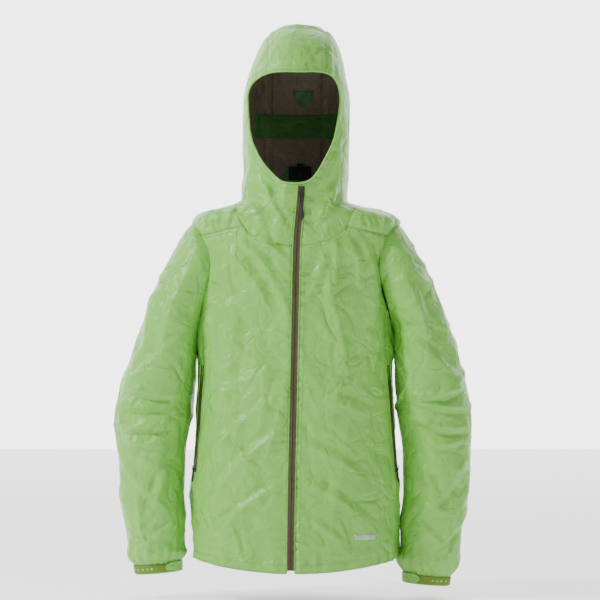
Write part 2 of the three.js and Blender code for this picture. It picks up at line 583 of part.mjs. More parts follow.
const STRIP = { inner: GAP, outer: GAP + 1.2 };
const TAB = { inner: 2 * GAP + 1.2, outer: 2 * GAP + 3 };
const tabPivots = {};
function buildCuff(arm) {
  const layer = (size) => cuffSolid(arm, size.outer).subtract(cuffSolid(arm, size.inner));
  add(`${arm.name}_cuff_band`, cuffSolid(arm, 0).subtract(cuffSolid(arm, -WALL)), 'shell');
  add(`${arm.name}_cuff_strip`, layer(STRIP).intersect(cuffSector(arm, -100, 140, 6, 20)), 'strip');

  const inside = layer(TAB).intersect(cuffSector(arm, 60, CUFF_TAB_ROOT_ANGLE, 4, 21));
  const w = wrist(arm);
  const half = w.outer.distanceTo(w.inner) / 2;
  const free = half * Math.cos(radians(CUFF_TAB_OPEN_ANGLE));
  const round = 8;
  const corner = new THREE.EllipseCurve(free - round, -21 + round, round, round, -Math.PI / 2, 0);
  const top = new THREE.EllipseCurve(free - round - 3, -4 - round, round + 3, round, 0, Math.PI / 2);
  const end = [...corner.getPoints(4), ...top.getPoints(4)].map((p) => [p.x, p.y]);
  const outline = [[-FAR / 4, -30], [free - round, -30], ...end, [free - round, 10], [-FAR / 4, 10]];
  const reach = plate(cuffFrame(arm), outline, -FAR / 2, FAR / 2);
  add(`${arm.name}_cuff_tab`, inside.intersect(reach), 'shell');

  const squeeze = CUFF_STATIONS.at(-1).squeeze;
  const angle = radians(CUFF_TAB_ROOT_ANGLE);
  const pivot = new THREE.Vector3(
    (half - squeeze + TAB.inner) * Math.cos(angle),
    (arm.side > 0 ? -1 : 1) * (w.depth - squeeze + TAB.inner) * Math.sin(angle),
    -12,
  ).applyMatrix4(cuffFrame(arm));
  tabPivots[`${arm.name}_cuff_tab`] = { pivot, axis: w.down.clone().multiplyScalar(arm.side) };
}

// ------------------------------------------------------------------ zips
const SLIDER_SPAN = 1.5;         // thickness of a slider's front plate
const POCKET_SCALE = 0.8;        // hand pocket sliders against the main one
const sliderBase = zipLength - STOP_LENGTH - 2 - SLIDER_LENGTH;
const sliderTravel = sliderBase - BOX_LENGTH - 2 * GAP;

function buildMainZip() {
  const crease = ZIP_CREASE_HALF;
  const lower = BOX_LENGTH + GAP;
  const tapeDepth = [0.6, 0.6 + TAPE_THICK];
  const coilDepth = [tapeDepth[1] + GAP, tapeDepth[1] + GAP + COIL_THICK];
  for (const arm of ARMS) {
    const across = (from, to) => (arm.side > 0 ? [from, to] : [-to, -from]);
    const coil = across(crease, crease + COIL_WIDTH);
    const tape = block(zipFrame, across(crease, ZIP_SLOT_HALF - GAP), tapeDepth, [lower, zipLength]);
    add(`${arm.name}_zip_tape`, tape, 'tape');
    const coilTop = zipLength - STOP_LENGTH - GAP;
    add(`${arm.name}_zip_coil`, block(zipFrame, coil, coilDepth, [lower, coilTop]), 'coil');
    const stop = block(zipFrame, coil, coilDepth, [zipLength - STOP_LENGTH, zipLength]);
    add(`${arm.name}_zip_top_stop`, stop, 'slider');
  }
  add('zip_retainer_box', block(zipFrame, [-4.5, 4.5], [0.3, 4.5], [0, BOX_LENGTH]), 'coil');

  const flap = block(zipFrame, [-12, 16], [6.5, 6.5 + LAYER], [BOX_LENGTH + 2, zipLength - 8]);
  const sewnEdge = block(zipFrame, [10, 16], [4.1, 6.5 + LAYER], [BOX_LENGTH + 2, zipLength - 130]);
  add('storm_flap', flap.add(sewnEdge), 'lining');
  const guardDepth = 6.5 + LAYER + GAP;
  const guard = block(zipFrame, [-14, 17], [guardDepth, guardDepth + LAYER], [zipLength - 66, zipLength - 2]);
  add('chin_guard', guard, 'shell');
}

// Slider plate with its bail; `back` is the local depth of the plate's rear face.
function sliderSolid(frame, scale, back) {
  const front = back - SLIDER_SPAN * scale;
  const half = (SLIDER_WIDTH / 2) * scale;
  const body = block(frame, [-half, half], [front, back], [0, SLIDER_LENGTH * scale]);
  const bailHalf = 0.9 * scale;
  const bailDepth = [front - 4.8 * scale, front + 0.2];
  const bail = block(frame, [-bailHalf, bailHalf], bailDepth, [2.5 * scale, 11.5 * scale]);
  const window = block(frame, [-2, 2], [front - 3.4 * scale, front], [4 * scale, 10 * scale]);
  return body.add(bail.subtract(window));
}

// Axis point of the pull's crossbar inside the bail.
const crossbarAt = (frame, scale, back) => (
  new THREE.Vector3(0, back - (SLIDER_SPAN + 1.8) * scale, 5.2 * scale).applyMatrix4(frame));

// Crossbar, two arms and the web that joins them below the bail.
function pullRing(frame, scale) {
  const bar = new THREE.CylinderGeometry(0.9 * scale, 0.9 * scale, 5.4 * scale, 8);
  bar.rotateZ(Math.PI / 2);
  const thick = [-scale, scale];
  const arm = (x0, x1) => block(frame, [x0 * scale, x1 * scale], thick, [-8.5 * scale, scale]);
  const web = block(frame, [-3 * scale, 3 * scale], thick, [-11 * scale, -8 * scale]);
  return join(toSolid(bar.applyMatrix4(frame)), arm(1.35, 3), arm(-3, -1.35), web);
}

const hinges = {};
function buildMainSlider() {
  const frame = zipFrame.clone().multiply(new THREE.Matrix4().makeTranslation(0, 0, sliderBase));
  const back = 0.3;
  const rear = 0.6 + TAPE_THICK + GAP + COIL_THICK + GAP;
  const neck = block(frame, [-0.3, 0.3], [back - 0.1, rear + 0.1], [5, 9]);
  const plateBehind = block(frame, [-4.2, 4.2], [rear, rear + SLIDER_SPAN], [0, SLIDER_LENGTH]);
  add('main_slider', join(sliderSolid(frame, 1, back), neck, plateBehind), 'slider');

  const pivot = crossbarAt(frame, 1, back);
  const lie = frameAt(pivot, axisOf(zipFrame, 2).setX(0), axisOf(zipFrame, 1).setX(0).negate());
  hinges.main_pull = { pivot, axis: axisOf(lie, 0) };
  const profile = [
    [0, -47], [2.4, -46.2], [4.3, -43], [4.7, -38.5], [3.9, -32], [2.4, -26], [1.6, -22], [1.5, -10.4], [0, -10.4],
  ];
  const grip = new THREE.LatheGeometry(profile.map(([r, z]) => new THREE.Vector2(r, z)), 12);
  grip.rotateX(Math.PI / 2).scale(1, 0.55, 1);
  add('main_pull', join(pullRing(lie, 1), toSolid(grip.applyMatrix4(lie))), 'pull');
}

function stadium(half, zTop, zBottom) {
  const low = new THREE.EllipseCurve(0, zBottom + half, half, half, Math.PI, 2 * Math.PI).getPoints(5);
  const high = new THREE.EllipseCurve(0, zTop - half, half, half, 0, Math.PI).getPoints(5);
  return [...low, ...high].map((p) => [p.x, p.y]);
}

function buildPocketZip(arm) {
  const frame = pocketFrame(arm.side);
  const proud = 0.8;
  const half = POCKET_ZIP_HALF;
  const strip = block(frame, [-half, half], [-proud, WALL - proud], [0, POCKET_LENGTH]);
  add(`${arm.name}_pocket_zip`, strip, 'tape');
  const scale = POCKET_SCALE;
  const back = -proud - GAP;
  add(`${arm.name}_pocket_slider`, sliderSolid(frame, scale, back), 'slider');

  const pivot = crossbarAt(frame, scale, back);
  const lie = frame.clone().setPosition(pivot);
  const loop = plate(lie, stadium(2.9, -7.5, -24), -0.7, 0.7).subtract(plate(lie, stadium(1.3, -12, -22), -2, 2));
  add(`${arm.name}_pocket_pull`, join(pullRing(lie, scale), loop), 'pull');
  hinges[`${arm.name}_pocket_pull`] = { pivot, axis: axisOf(lie, 0) };
  hinges[`${arm.name}_pocket_slider`] = { pivot: axisOf(frame, 3), axis: axisOf(frame, 2) };
}

// ------------------------------------------------------------------ assembly
buildShell();
buildInnerLayers();
buildHangingLoop();
ARMS.forEach(buildSleeve);
ARMS.forEach(buildCuff);
buildMainZip();
buildMainSlider();
ARMS.forEach(buildPocketZip);

// The jacket's own origin is where a peg bears, under the upper end of the hanging loop.
const [pegDepth, pegLevel] = skin(LOOP.top - LOOP.seat - 8, LOOP.stand / 2);
const peg = new THREE.Vector3(LOOP.x, pegDepth, pegLevel);

const jacket = new THREE.Group();
const worn = new THREE.Group();
worn.position.copy(peg).negate();
for (const [name, { solid, finish }] of nodes) {
  const material = new THREE.MeshStandardMaterial(FINISHES[finish]);
  const mesh = new THREE.Mesh(toGeometry(solid), material);
  mesh.name = name;
  worn.add(mesh);
}
jacket.add(worn);

// Pivots and axes of the moving pieces in the jacket's own frame.
hinges.main_slider = { pivot: axisOf(zipFrame, 3), axis: axisOf(zipFrame, 2).negate(), travel: sliderTravel };
for (const arm of ARMS) {
  const pivot = new THREE.Vector3(arm.side * SHOULDER_HALF, 0, SHOULDER_Z + 2);
  hinges[`${arm.name}_sleeve`] = { pivot, axis: new THREE.Vector3(0, -arm.side, 0) };
}
Object.assign(hinges, tabPivots);
for (const hinge of Object.values(hinges)) hinge.pivot = hinge.pivot.clone().sub(peg);
jacket.userData.hinges = hinges;
jacket.userData.peg = peg;

export default jacket;
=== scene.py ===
"""A hooded hardshell jacket hanging closed, built as sewn panels over its mechanical frame."""

import logging
import math
from dataclasses import dataclass, field
from enum import Enum
from typing import Callable, Sequence

import bmesh
import bpy
import numpy as np
from mathutils import Matrix, Vector


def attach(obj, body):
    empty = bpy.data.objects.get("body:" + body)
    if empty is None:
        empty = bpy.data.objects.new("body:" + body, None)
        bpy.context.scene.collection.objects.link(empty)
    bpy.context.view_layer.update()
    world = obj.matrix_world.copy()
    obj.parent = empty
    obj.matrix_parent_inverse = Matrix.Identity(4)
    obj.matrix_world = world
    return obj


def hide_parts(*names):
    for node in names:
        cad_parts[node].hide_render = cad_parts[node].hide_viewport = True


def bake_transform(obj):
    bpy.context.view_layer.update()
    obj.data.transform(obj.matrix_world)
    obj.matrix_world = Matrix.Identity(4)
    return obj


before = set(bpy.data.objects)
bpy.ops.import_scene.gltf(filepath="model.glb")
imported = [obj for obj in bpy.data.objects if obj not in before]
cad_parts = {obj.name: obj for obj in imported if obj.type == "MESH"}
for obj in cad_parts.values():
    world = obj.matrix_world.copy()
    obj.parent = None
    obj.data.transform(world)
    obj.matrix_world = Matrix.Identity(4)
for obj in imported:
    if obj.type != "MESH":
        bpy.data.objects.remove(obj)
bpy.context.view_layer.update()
LOG = logging.getLogger("jacket")
PEG = np.array([8.0, 74.38043478, 730.0])
SQUARENESS = 2.3
Array = np.ndarray
Place = Callable[[Array, Array], Array]


class Side(Enum):
    """Wearer's side of the jacket."""

    RIGHT = -1
    LEFT = 1

    @property
    def word(self) -> str:
        """Name used at the front of a node's name."""
        return self.name.lower()


def smooth(low: float, high: float, value: Array) -> Array:
    """Smooth step.

    Args:
        low: value that gives 0.
        high: value that gives 1.
        value: numbers to map.

    Returns:
        Numbers from 0 to 1.
    """
    t = np.clip((np.asarray(value, float) - low) / (high - low), 0, 1)
    return t * t * (3 - 2 * t)


class Profile:
    """Monotone curve through stations, flat at both ends."""

    def __init__(self, *stations: tuple[float, float]) -> None:
        """Sets the stations, whose slopes keep the curve free of overshoot.

        Args:
            stations: place and value of each station, in order.
        """
        self.x, self.y = (np.array(c, float) for c in zip(*stations))
        rise = np.diff(self.y) / np.diff(self.x)
        before, after = rise[:-1], rise[1:]
        total = np.where(before + after == 0, 1, before + after)
        self.slope = np.pad(np.where(before * after <= 0, 0, 2 * before * after / total), 1)

    def __call__(self, at: Array) -> Array:
        """Height of the curve.

        Args:
            at: positions along the curve.

        Returns:
            The curve's values there.
        """
        at = np.clip(np.asarray(at, float), self.x[0], self.x[-1])
        i = np.clip(np.searchsorted(self.x, at) - 1, 0, len(self.x) - 2)
        h = self.x[i + 1] - self.x[i]
        t = (at - self.x[i]) / h
        start = self.y[i] * (1 + 2 * t) * (1 - t) ** 2 + self.slope[i] * h * t * (1 - t) ** 2
        return start + self.y[i + 1] * t * t * (3 - 2 * t) + self.slope[i + 1] * h * t * t * (t - 1)


def creases(points: Array, size: float, seed: int) -> Array:
    """Random field of sharp ridges and flat facets, as in crumpled nylon.

    Args:
        points: N x 3 positions in millimetres.
        size: typical width of a facet in millimetres.
        seed: seed of the directions.

    Returns:
        N numbers of about -0.5 to 1.
    """
    bent = points + 0.35 * size * np.stack([noise(points, size * 1.6, seed + k, 1) for k in (1, 2, 3)], -1)
    first, second = (np.exp(-3.2 * np.abs(noise(bent, size, seed + k, 1))) for k in (5, 9))
    return np.maximum(first, second) - 0.35


def signed_power(value: Array, power: float) -> Array:
    """Power that keeps the sign.

    Args:
        value: numbers.
        power: exponent of their size.

    Returns:
        The signed powers.
    """
    return np.sign(value) * np.abs(value) ** power


def noise(points: Array, size: float, seed: int, octaves: int = 3) -> Array:
    """Smooth random field from a few waves in seeded directions.

    Args:
        points: N x 3 positions in millimetres.
        size: typical width of a bump in millimetres.
        seed: seed of the directions.
        octaves: how many halvings of the size are added.

    Returns:
        N numbers of about -1 to 1.
    """
    draw = np.random.default_rng(seed)
    total = np.zeros(len(points))
    for octave in range(octaves):
        ways = draw.normal(size=(9, 3))
        ways *= (2 * math.pi * 2**octave / (size * 2.2)) / np.linalg.norm(ways, axis=1)[:, None]
        total += np.sin(points @ ways.T + draw.uniform(0, 6.28, 9)).sum(1) / 4.2 / 1.8**octave
    return total


@dataclass(frozen=True)
class Fold:
    """A drag line in cloth: a ridge along a straight run that fades at its ends."""

    start: tuple[float, float]
    end: tuple[float, float]
    width: float = 12.0
    height: float = 4.0

    def lift(self, a: Array, b: Array) -> Array:
        """Height of the fold with the trough beside it.

        Args:
            a: first coordinate of the points.
            b: second coordinate of the points.

        Returns:
            Height in millimetres at each point.
        """
        p, q = np.array(self.start), np.array(self.end)
        way = q - p
        length = float(np.hypot(*way))
        way = way / length
        along = ((a - p[0]) * way[0] + (b - p[1]) * way[1]) / length
        bow = 0.06 * length * np.sin(math.pi * np.clip(along, 0, 1))
        across = (-(a - p[0]) * way[1] + (b - p[1]) * way[0] - bow) / self.width
        fade = smooth(-0.12, 0.25, along) * (1 - smooth(0.7, 1.15, along))
        ridge = np.exp(-1.5 * np.abs(across) ** 1.15)
        return self.height * fade * (ridge - 0.8 * np.exp(-2.2 * np.abs(across - 1.2) ** 1.3))


@dataclass
class BodyForm:
    """Smooth form of the trunk and hood that every panel is cut from, in millimetres."""

    half: Profile = field(default_factory=lambda: Profile(
        (30, 179), (165, 181.5), (247.5, 173.25), (330, 169), (495, 169.5), (594, 176), (634, 180),
        (646, 172), (658, 135), (668, 97), (674, 91), (760, 92.5), (850, 91.5), (900, 82.5), (940, 70),
        (968, 53), (978, 36)))
    hood_front: Profile = field(default_factory=lambda: Profile(
        (700, 95), (760, 99), (860, 108), (892, 118), (930, 102), (960, 68), (978, 38)))
    back: Profile = field(default_factory=lambda: Profile(
        (30, 112), (330, 100), (520, 118), (634, 98), (668, 82), (700, 76), (760, 98), (860, 138),
        (922, 116), (960, 68), (978, 26)))
    lean: Profile = field(default_factory=lambda: Profile((700, 0), (716, 2), (860, 2), (978, 8)))
    hem_level: float = 30.0
    hem_rise: float = 22.0
    folds: tuple[Fold, ...] = (
        Fold((-102, 606), (-22, 518), 11, 4.5), Fold((-88, 622), (-8, 560), 8, 3.5),
        Fold((-120, 590), (-40, 470), 15, 4), Fold((-60, 560), (-12, 470), 9, 3),
        Fold((68, 606), (60, 500), 9, 4.5), Fold((92, 610), (110, 520), 10, 3.5),
        Fold((48, 580), (20, 500), 9, 3), Fold((120, 600), (140, 470), 12, 4),
        Fold((-150, 150), (-18, 275), 13, 5), Fold((-160, 215), (-30, 330), 12, 3.5),
        Fold((-130, 95), (-14, 190), 11, 4), Fold((-140, 330), (-20, 380), 16, 3),
        Fold((14, 250), (120, 190), 13, 4), Fold((10, 190), (130, 110), 12, 4),
        Fold((20, 330), (130, 300), 15, 3), Fold((10, 130), (90, 70), 9, 3.5),
        Fold((80, 420), (60, 300), 14, 3), Fold((-110, 480), (-120, 360), 16, 3),
        Fold((150, 470), (130, 380), 11, 3.5), Fold((-150, 470), (-142, 390), 10, 3),
        Fold((-111, 116), (-96, 62), 5, 2.6), Fold((72, 124), (90, 66), 5, 2.6),
    )
    hood_folds: tuple[Fold, ...] = (
        Fold((-80, 760), (-40, 668), 9, 3.5), Fold((-72, 720), (-26, 640), 8, 3.5),
        Fold((78, 780), (40, 690), 10, 4), Fold((70, 700), (34, 630), 8, 3.5),
        Fold((-60, 680), (-14, 622), 7, 2.5), Fold((60, 930), (20, 962), 9, 2),
        Fold((-40, 905), (30, 955), 12, 2.2), Fold((40, 905), (62, 940), 8, 1.8),
    )

    def depth(self, z: Array, front: Array) -> Array:
        """Half depth of the form.

        Args:
            z: levels.
            front: where the front half is asked for.

        Returns:
            Distance from the shoulder plane.
        """
        zipped = 122 - 27 * (z - 30) / 670
        return np.where(front, np.where(z < 700, zipped, self.hood_front(z)), self.back(z))

    def level(self, u: Array, z: Array) -> Array:
        """Points of one level section.

        Args:
            u: share of the way round, 0 at the middle of the back.
            z: levels.

        Returns:
            N x 3 points without folds.
        """
        angle = 2 * math.pi * (u + 0.25)
        c, s = signed_power(np.cos(angle), 2 / SQUARENESS), signed_power(np.sin(angle), 2 / SQUARENESS)
        return np.stack([self.lean(z) + self.half(z) * c, self.depth(z, s < 0) * s, z], -1)

    def sheet(self, u: Array, v: Array) -> Array:
        """Points of the whole closed sheet, from the hem up to the crown's middle.

        Args:
            u: share of the way round.
            v: share of the way up.

        Returns:
            N x 3 points without folds.
        """
        top = 0.965
        z = self.hem_level + (978 - self.hem_level) * np.clip(v / top, 0, 1)
        p = self.level(u, z)
        rise = self.hem_rise * np.minimum((p[:, 0] / 179) ** 2, 1.4)
        p[:, 2] += rise * (1 - smooth(30, 190, z))
        crown = np.clip((v - top) / (1 - top), 0, 1)
        centre = np.array([8.0, -6.0])
        p[:, :2] = centre + (p[:, :2] - centre) * (1 - crown)[:, None]
        p[:, 2] += 3.0 * (1 - (1 - crown) ** 2)
        return p

    def inside(self, p: Array) -> Array:
        """How far inside the form points lie: below 0 is inside.

        Args:
            p: N x 3 points.

        Returns:
            The form's implicit value.
        """
        z = p[:, 2]
        x = np.abs((p[:, 0] - self.lean(z)) / self.half(z)) ** SQUARENESS
        return x + np.abs(p[:, 1] / self.depth(z, p[:, 1] < 0)) ** SQUARENESS - 1

    def relief(self, p: Array) -> Array:
        """Height of folds and wrinkles above the smooth form.

        Args:
            p: N x 3 points on the form.

        Returns:
            Height at each point in millimetres.
        """
        x, y, z = p.T
        front = smooth(-6, 30, -y)
        lift = front * sum(f.lift(x, z) for f in self.folds) * (1 - smooth(600, 640, z))
        lift += front * sum(f.lift(x, z) for f in self.hood_folds)
        zip_x = ZIP.centre(z)
        near = np.exp(-np.abs(x - zip_x) / 22) * (1 - np.exp(-np.abs(x - zip_x) / 7))
        pucker = np.sin(z * 0.34 + 1.6 * np.sin(z * 0.071) + np.sign(x - zip_x) * 0.9)
        lift += front * near * pucker * 3.6 * (0.45 + 0.55 * np.sin(z * 0.021) ** 2) * (z < 690)
        hem = np.exp(-np.abs(z - 48) / 16)
        lift += hem * 1.6 * np.sin(x * 0.21 + 2.2 * np.sin(x * 0.043) + y * 0.17)
        side = np.abs(x)
        gather = np.exp(-np.abs(z - 636) / 16) * smooth(88, 110, side) * (1 - smooth(150, 176, side))
        lift += front * gather * 1.5 * np.sin(x * 0.42 + 2.4 * np.sin(x * 0.09 + z * 0.05))
        slanted = p @ np.array([[1, 0, 0.25], [0, 1, 0], [-0.35, 0, 0.6]])
        lift += 4.6 * creases(slanted, 105, 3) + 1.9 * creases(p, 46, 40) + 0.35 * noise(p, 40, 5)
        return 1.25 * lift * (0.4 + 0.6 * (1 - smooth(690, 730, z)))

    def surface(self, x: Array, z: Array, front: bool, offset: float = 0.0) -> Array:
        """Points on the folded cloth at places in the front view.

        Args:
            x: sideways places.
            z: levels.
            front: True for the front half and False for the back half.
            offset: distance outwards from the cloth's outer face.

        Returns:
            N x 3 points.
        """
        x, z = np.broadcast_arrays(np.asarray(x, float), np.asarray(z, float))

        def on_form(a: Array, b: Array) -> Array:
            """Points on the smooth form.

            Args:
                a: sideways places.
                b: levels.

            Returns:
                N x 3 points.
            """
            share = np.clip(np.abs((a - self.lean(b)) / self.half(b)), 0, 0.995) ** SQUARENESS
            y = self.depth(b, np.full(b.shape, front)) * (1 - share) ** (1 / SQUARENESS)
            return np.stack([a, -y if front else y, b], -1)

        p = on_form(x, z)
        normal = np.cross(on_form(x + 0.5, z) - p, on_form(x, z + 0.5) - p)
        normal *= (1 if front else -1) / np.linalg.norm(normal, axis=1)[:, None]
        return p + normal * (self.relief(p) + offset)[:, None]


@dataclass(frozen=True)
class ZipLine:
    """Course of the main zip over the front."""

    bottom: float = 36.0
    top: float = 697.0
    curve: Profile = Profile((30, -8), (413, -1.5), (560, 1.5), (606, 3), (675, 9), (705, 11))

    def centre(self, z: Array) -> Array:
        """Sideways place of the zip.

        Args:
            z: levels.

        Returns:
            The zip's middle there.
        """
        return self.curve(z)


ZIP = ZipLine()


def pocket_line(z: Array) -> Array:
    """Sideways place of a pocket's zip at each level."""
    return np.interp(z, [203, 385], [174.5, 161])


# ------------------------------------------------------------------ shading
class Port:
    """A shader socket or number that takes part in shader arithmetic."""

    def __init__(self, tree: "Paint", socket: bpy.types.NodeSocket) -> None:
        """Wraps a socket of a tree."""
        self.tree, self.socket = tree, socket

    def _with(self, operation: str, a: "Port | float", b: "Port | float") -> "Port":
        """Adds a Math node."""
        return self.tree.node("ShaderNodeMath", {"operation": operation}, {0: a, 1: b})

    def __add__(self, other: "Port | float") -> "Port":
        """Sum."""
        return self._with("ADD", self, other)

    __radd__ = __add__

    def __mul__(self, other: "Port | float") -> "Port":
        """Product."""
        return self._with("MULTIPLY", self, other)

    __rmul__ = __mul__

    def __sub__(self, other: "Port | float") -> "Port":
        """Difference."""
        return self._with("SUBTRACT", self, other)

    def __rsub__(self, other: "Port | float") -> "Port":
        """Difference from a number."""
        return self._with("SUBTRACT", other, self)

    def __truediv__(self, other: "Port | float") -> "Port":
        """Quotient."""
        return self._with("DIVIDE", self, other)

    def __rtruediv__(self, other: "Port | float") -> "Port":
        """Quotient of a number."""
        return self._with("DIVIDE", other, self)


class Paint:
    """One material's node tree with short ways to build it."""

    def __init__(self, name: str) -> None:
        """Starts an empty node tree.

        Args:
            name: the material's name.
        """
        self.material = bpy.data.materials.new(name)
        self.material.use_nodes = True
        self.tree = self.material.node_tree
        self.tree.nodes.clear()

    def node(self, kind: str, settings: dict, values: dict, out: "int | str" = 0) -> Port:
        """Adds a node.

        Args:
            kind: the node's type.
            settings: its properties.
            values: its inputs, as numbers or ports.
            out: which output to hand back.

        Returns:
            The chosen output.
        """
        made = self.tree.nodes.new(kind)
        for key, value in settings.items():
            setattr(made, key, value)
        for key, value in values.items():
            if isinstance(value, Port):
                self.tree.links.new(value.socket, made.inputs[key])
            else:
                made.inputs[key].default_value = value
        return Port(self, made.outputs[out])

    def coords(self) -> Port:
        """Places in the object's own coordinates.

        Returns:
            The coordinates.
        """
        return self.node("ShaderNodeTexCoord", {}, {}, "Object")

    def mix(self, share: Port, a: Sequence[float], b: Sequence[float]) -> Port:
        """Blends two colours.

        Args:
            share: amount of the second.
            a: first colour.
            b: second colour.

        Returns:
            The blended colour.
        """
        return self.node("ShaderNodeMix", {"data_type": "RGBA"}, {0: share, 6: (*a, 1), 7: (*b, 1)}, 2)

    def noise(self, scale: float, detail: float = 3, stretch: Sequence[float] = (1, 1, 1)) -> Port:
        """Soft random field.

        Args:
            scale: bumps to the metre.
            detail: octaves.
            stretch: factors along each axis.

        Returns:
            Values from 0 to 1.
        """
        at = self.node("ShaderNodeVectorMath", {"operation": "MULTIPLY"}, {0: self.coords(), 1: stretch})
        return self.node("ShaderNodeTexNoise", {}, {"Vector": at, "Scale": scale, "Detail": detail})

    def crumple(self, scale: float) -> Port:
        """Fine sharp wrinkles of thin coated cloth.

        Args:
            scale: wrinkles to the metre.

        Returns:
            Height of the wrinkles.
        """
        field = self.node("ShaderNodeTexNoise", {}, {"Vector": self.coords(), "Scale": scale, "Detail": 1.5,
                                                     "Distortion": 0.6})
        fold = self.node("ShaderNodeMath", {"operation": "ABSOLUTE"}, {0: field * 2 - 1})
        return self.node("ShaderNodeMath", {"operation": "MINIMUM"}, {0: fold, 1: 0.22})

    def weave(self, pitch: float) -> Port:
        """Threads crossing at right angles.

        Args:
            pitch: thread spacing in metres.

        Returns:
            Height of the weave.
        """
        waves = [self.node("ShaderNodeTexWave", {"bands_direction": way},
                           {"Vector": self.coords(), "Scale": 0.314 / pitch}, "Fac") for way in "XZ"]
        return waves[0] * waves[1]

    def finish(self, color: Port, rough: "Port | float", height: Port, depth: float,
               **fixed: float) -> bpy.types.Material:
        """Closes the tree with a surface.

        Args:
            color: base colour.
            rough: roughness.
            height: bump height.
            depth: bump distance in metres.
            fixed: constants of the surface by socket name, with _ for spaces.

        Returns:
            The finished material.
        """
        normal = self.node("ShaderNodeBump", {}, {"Height": height, "Distance": depth, "Strength": 0.8})
        values = {"Base Color": color, "Roughness": rough, "Normal": normal}
        values.update({key.replace("_", " "): value for key, value in fixed.items()})
        surface = self.node("ShaderNodeBsdfPrincipled", {}, values)
        end = self.tree.nodes.new("ShaderNodeOutputMaterial")
        self.tree.links.new(surface.socket, end.inputs["Surface"])
        return self.material


@dataclass(frozen=True)
class Finish:
    """A named finish: two tones, sheen and texture."""

    name: str
    tone: tuple[float, float, float]
    shade: tuple[float, float, float]
    rough: float = 0.5
    metal: float = 0.0
    pitch: float = 0.0009
    crinkle: float = 0.0006
    scale: float = 60.0
    crumpled: float = 0.0

    def make(self) -> bpy.types.Material:
        """Builds the material.

        Returns:
            The finished material.
        """
        p = Paint(self.name)
        broad, fine = p.noise(self.scale / 8, 3), p.noise(self.scale, 6, (1, 1, 0.6))
        color = p.mix(broad * 0.6 + fine * 0.4, self.tone, self.shade)
        height = fine * self.crinkle * 400 + p.weave(self.pitch) * 0.05
        if self.crumpled:
            height = height + (p.crumple(13) * 14 + p.crumple(31) * 6) * self.crumpled
        return p.finish(color, fine * 0.22 + (self.rough - 0.11), height, 0.001, Metallic=self.metal)


class Wardrobe:
    """Every material of the jacket."""

    FINISHES = (
        Finish("shell", (0.235, 0.60, 0.095), (0.165, 0.46, 0.055),
               rough=0.41, pitch=0.0008, crinkle=0.0006, scale=60, crumpled=1.0),
        # Shell green darkened as painted shade, for the shell-fabric layers inside the hood.
        Finish("shell_inner", (0.06, 0.22, 0.045), (0.04, 0.16, 0.03),
               rough=0.5, pitch=0.0009, crinkle=0.0005, scale=60, crumpled=0.8),
        Finish("lining", (0.26, 0.21, 0.15), (0.14, 0.11, 0.075),
               rough=0.55, pitch=0.0012, crinkle=0.0008, scale=90, crumpled=0.9),
        Finish("tape", (0.075, 0.06, 0.018), (0.05, 0.042, 0.012),
               rough=0.42, pitch=0.0007, crinkle=0.0002, scale=240),
        Finish("coil", (0.03, 0.026, 0.01), (0.018, 0.016, 0.008),
               rough=0.35, pitch=0.0016, crinkle=0.0001, scale=200),
        Finish("slider", (0.10, 0.095, 0.07), (0.06, 0.055, 0.04),
               rough=0.34, metal=0.85, pitch=0.003, crinkle=0.0001, scale=400),
        Finish("pull", (0.012, 0.02, 0.01), (0.008, 0.012, 0.007),
               rough=0.5, pitch=0.001, crinkle=0.0002, scale=500),
        Finish("strip", (0.15, 0.25, 0.02), (0.11, 0.2, 0.014),
               rough=0.75, pitch=0.0011, crinkle=0.0006, scale=600),
        Finish("webbing", (0.012, 0.012, 0.013), (0.006, 0.006, 0.007),
               rough=0.7, pitch=0.0012, crinkle=0.0004, scale=500),
        Finish("reflective", (0.5, 0.62, 0.46), (0.42, 0.54, 0.38),
               rough=0.25, metal=0.5, pitch=0.0006, crinkle=0.0001, scale=300),
        Finish("thread", (0.2, 0.42, 0.1), (0.14, 0.33, 0.07),
               rough=0.6, pitch=0.0005, crinkle=0.0002, scale=900),
        Finish("dot", (0.42, 0.58, 0.16), (0.34, 0.5, 0.12),
               rough=0.4, pitch=0.002, crinkle=0.0001, scale=400),
    )

    def __init__(self) -> None:
        """Makes every finish."""
        self.made = {f.name: f.make() for f in self.FINISHES}

    def __getitem__(self, name: str) -> bpy.types.Material:
        """The material of a finish."""
        return self.made[name]


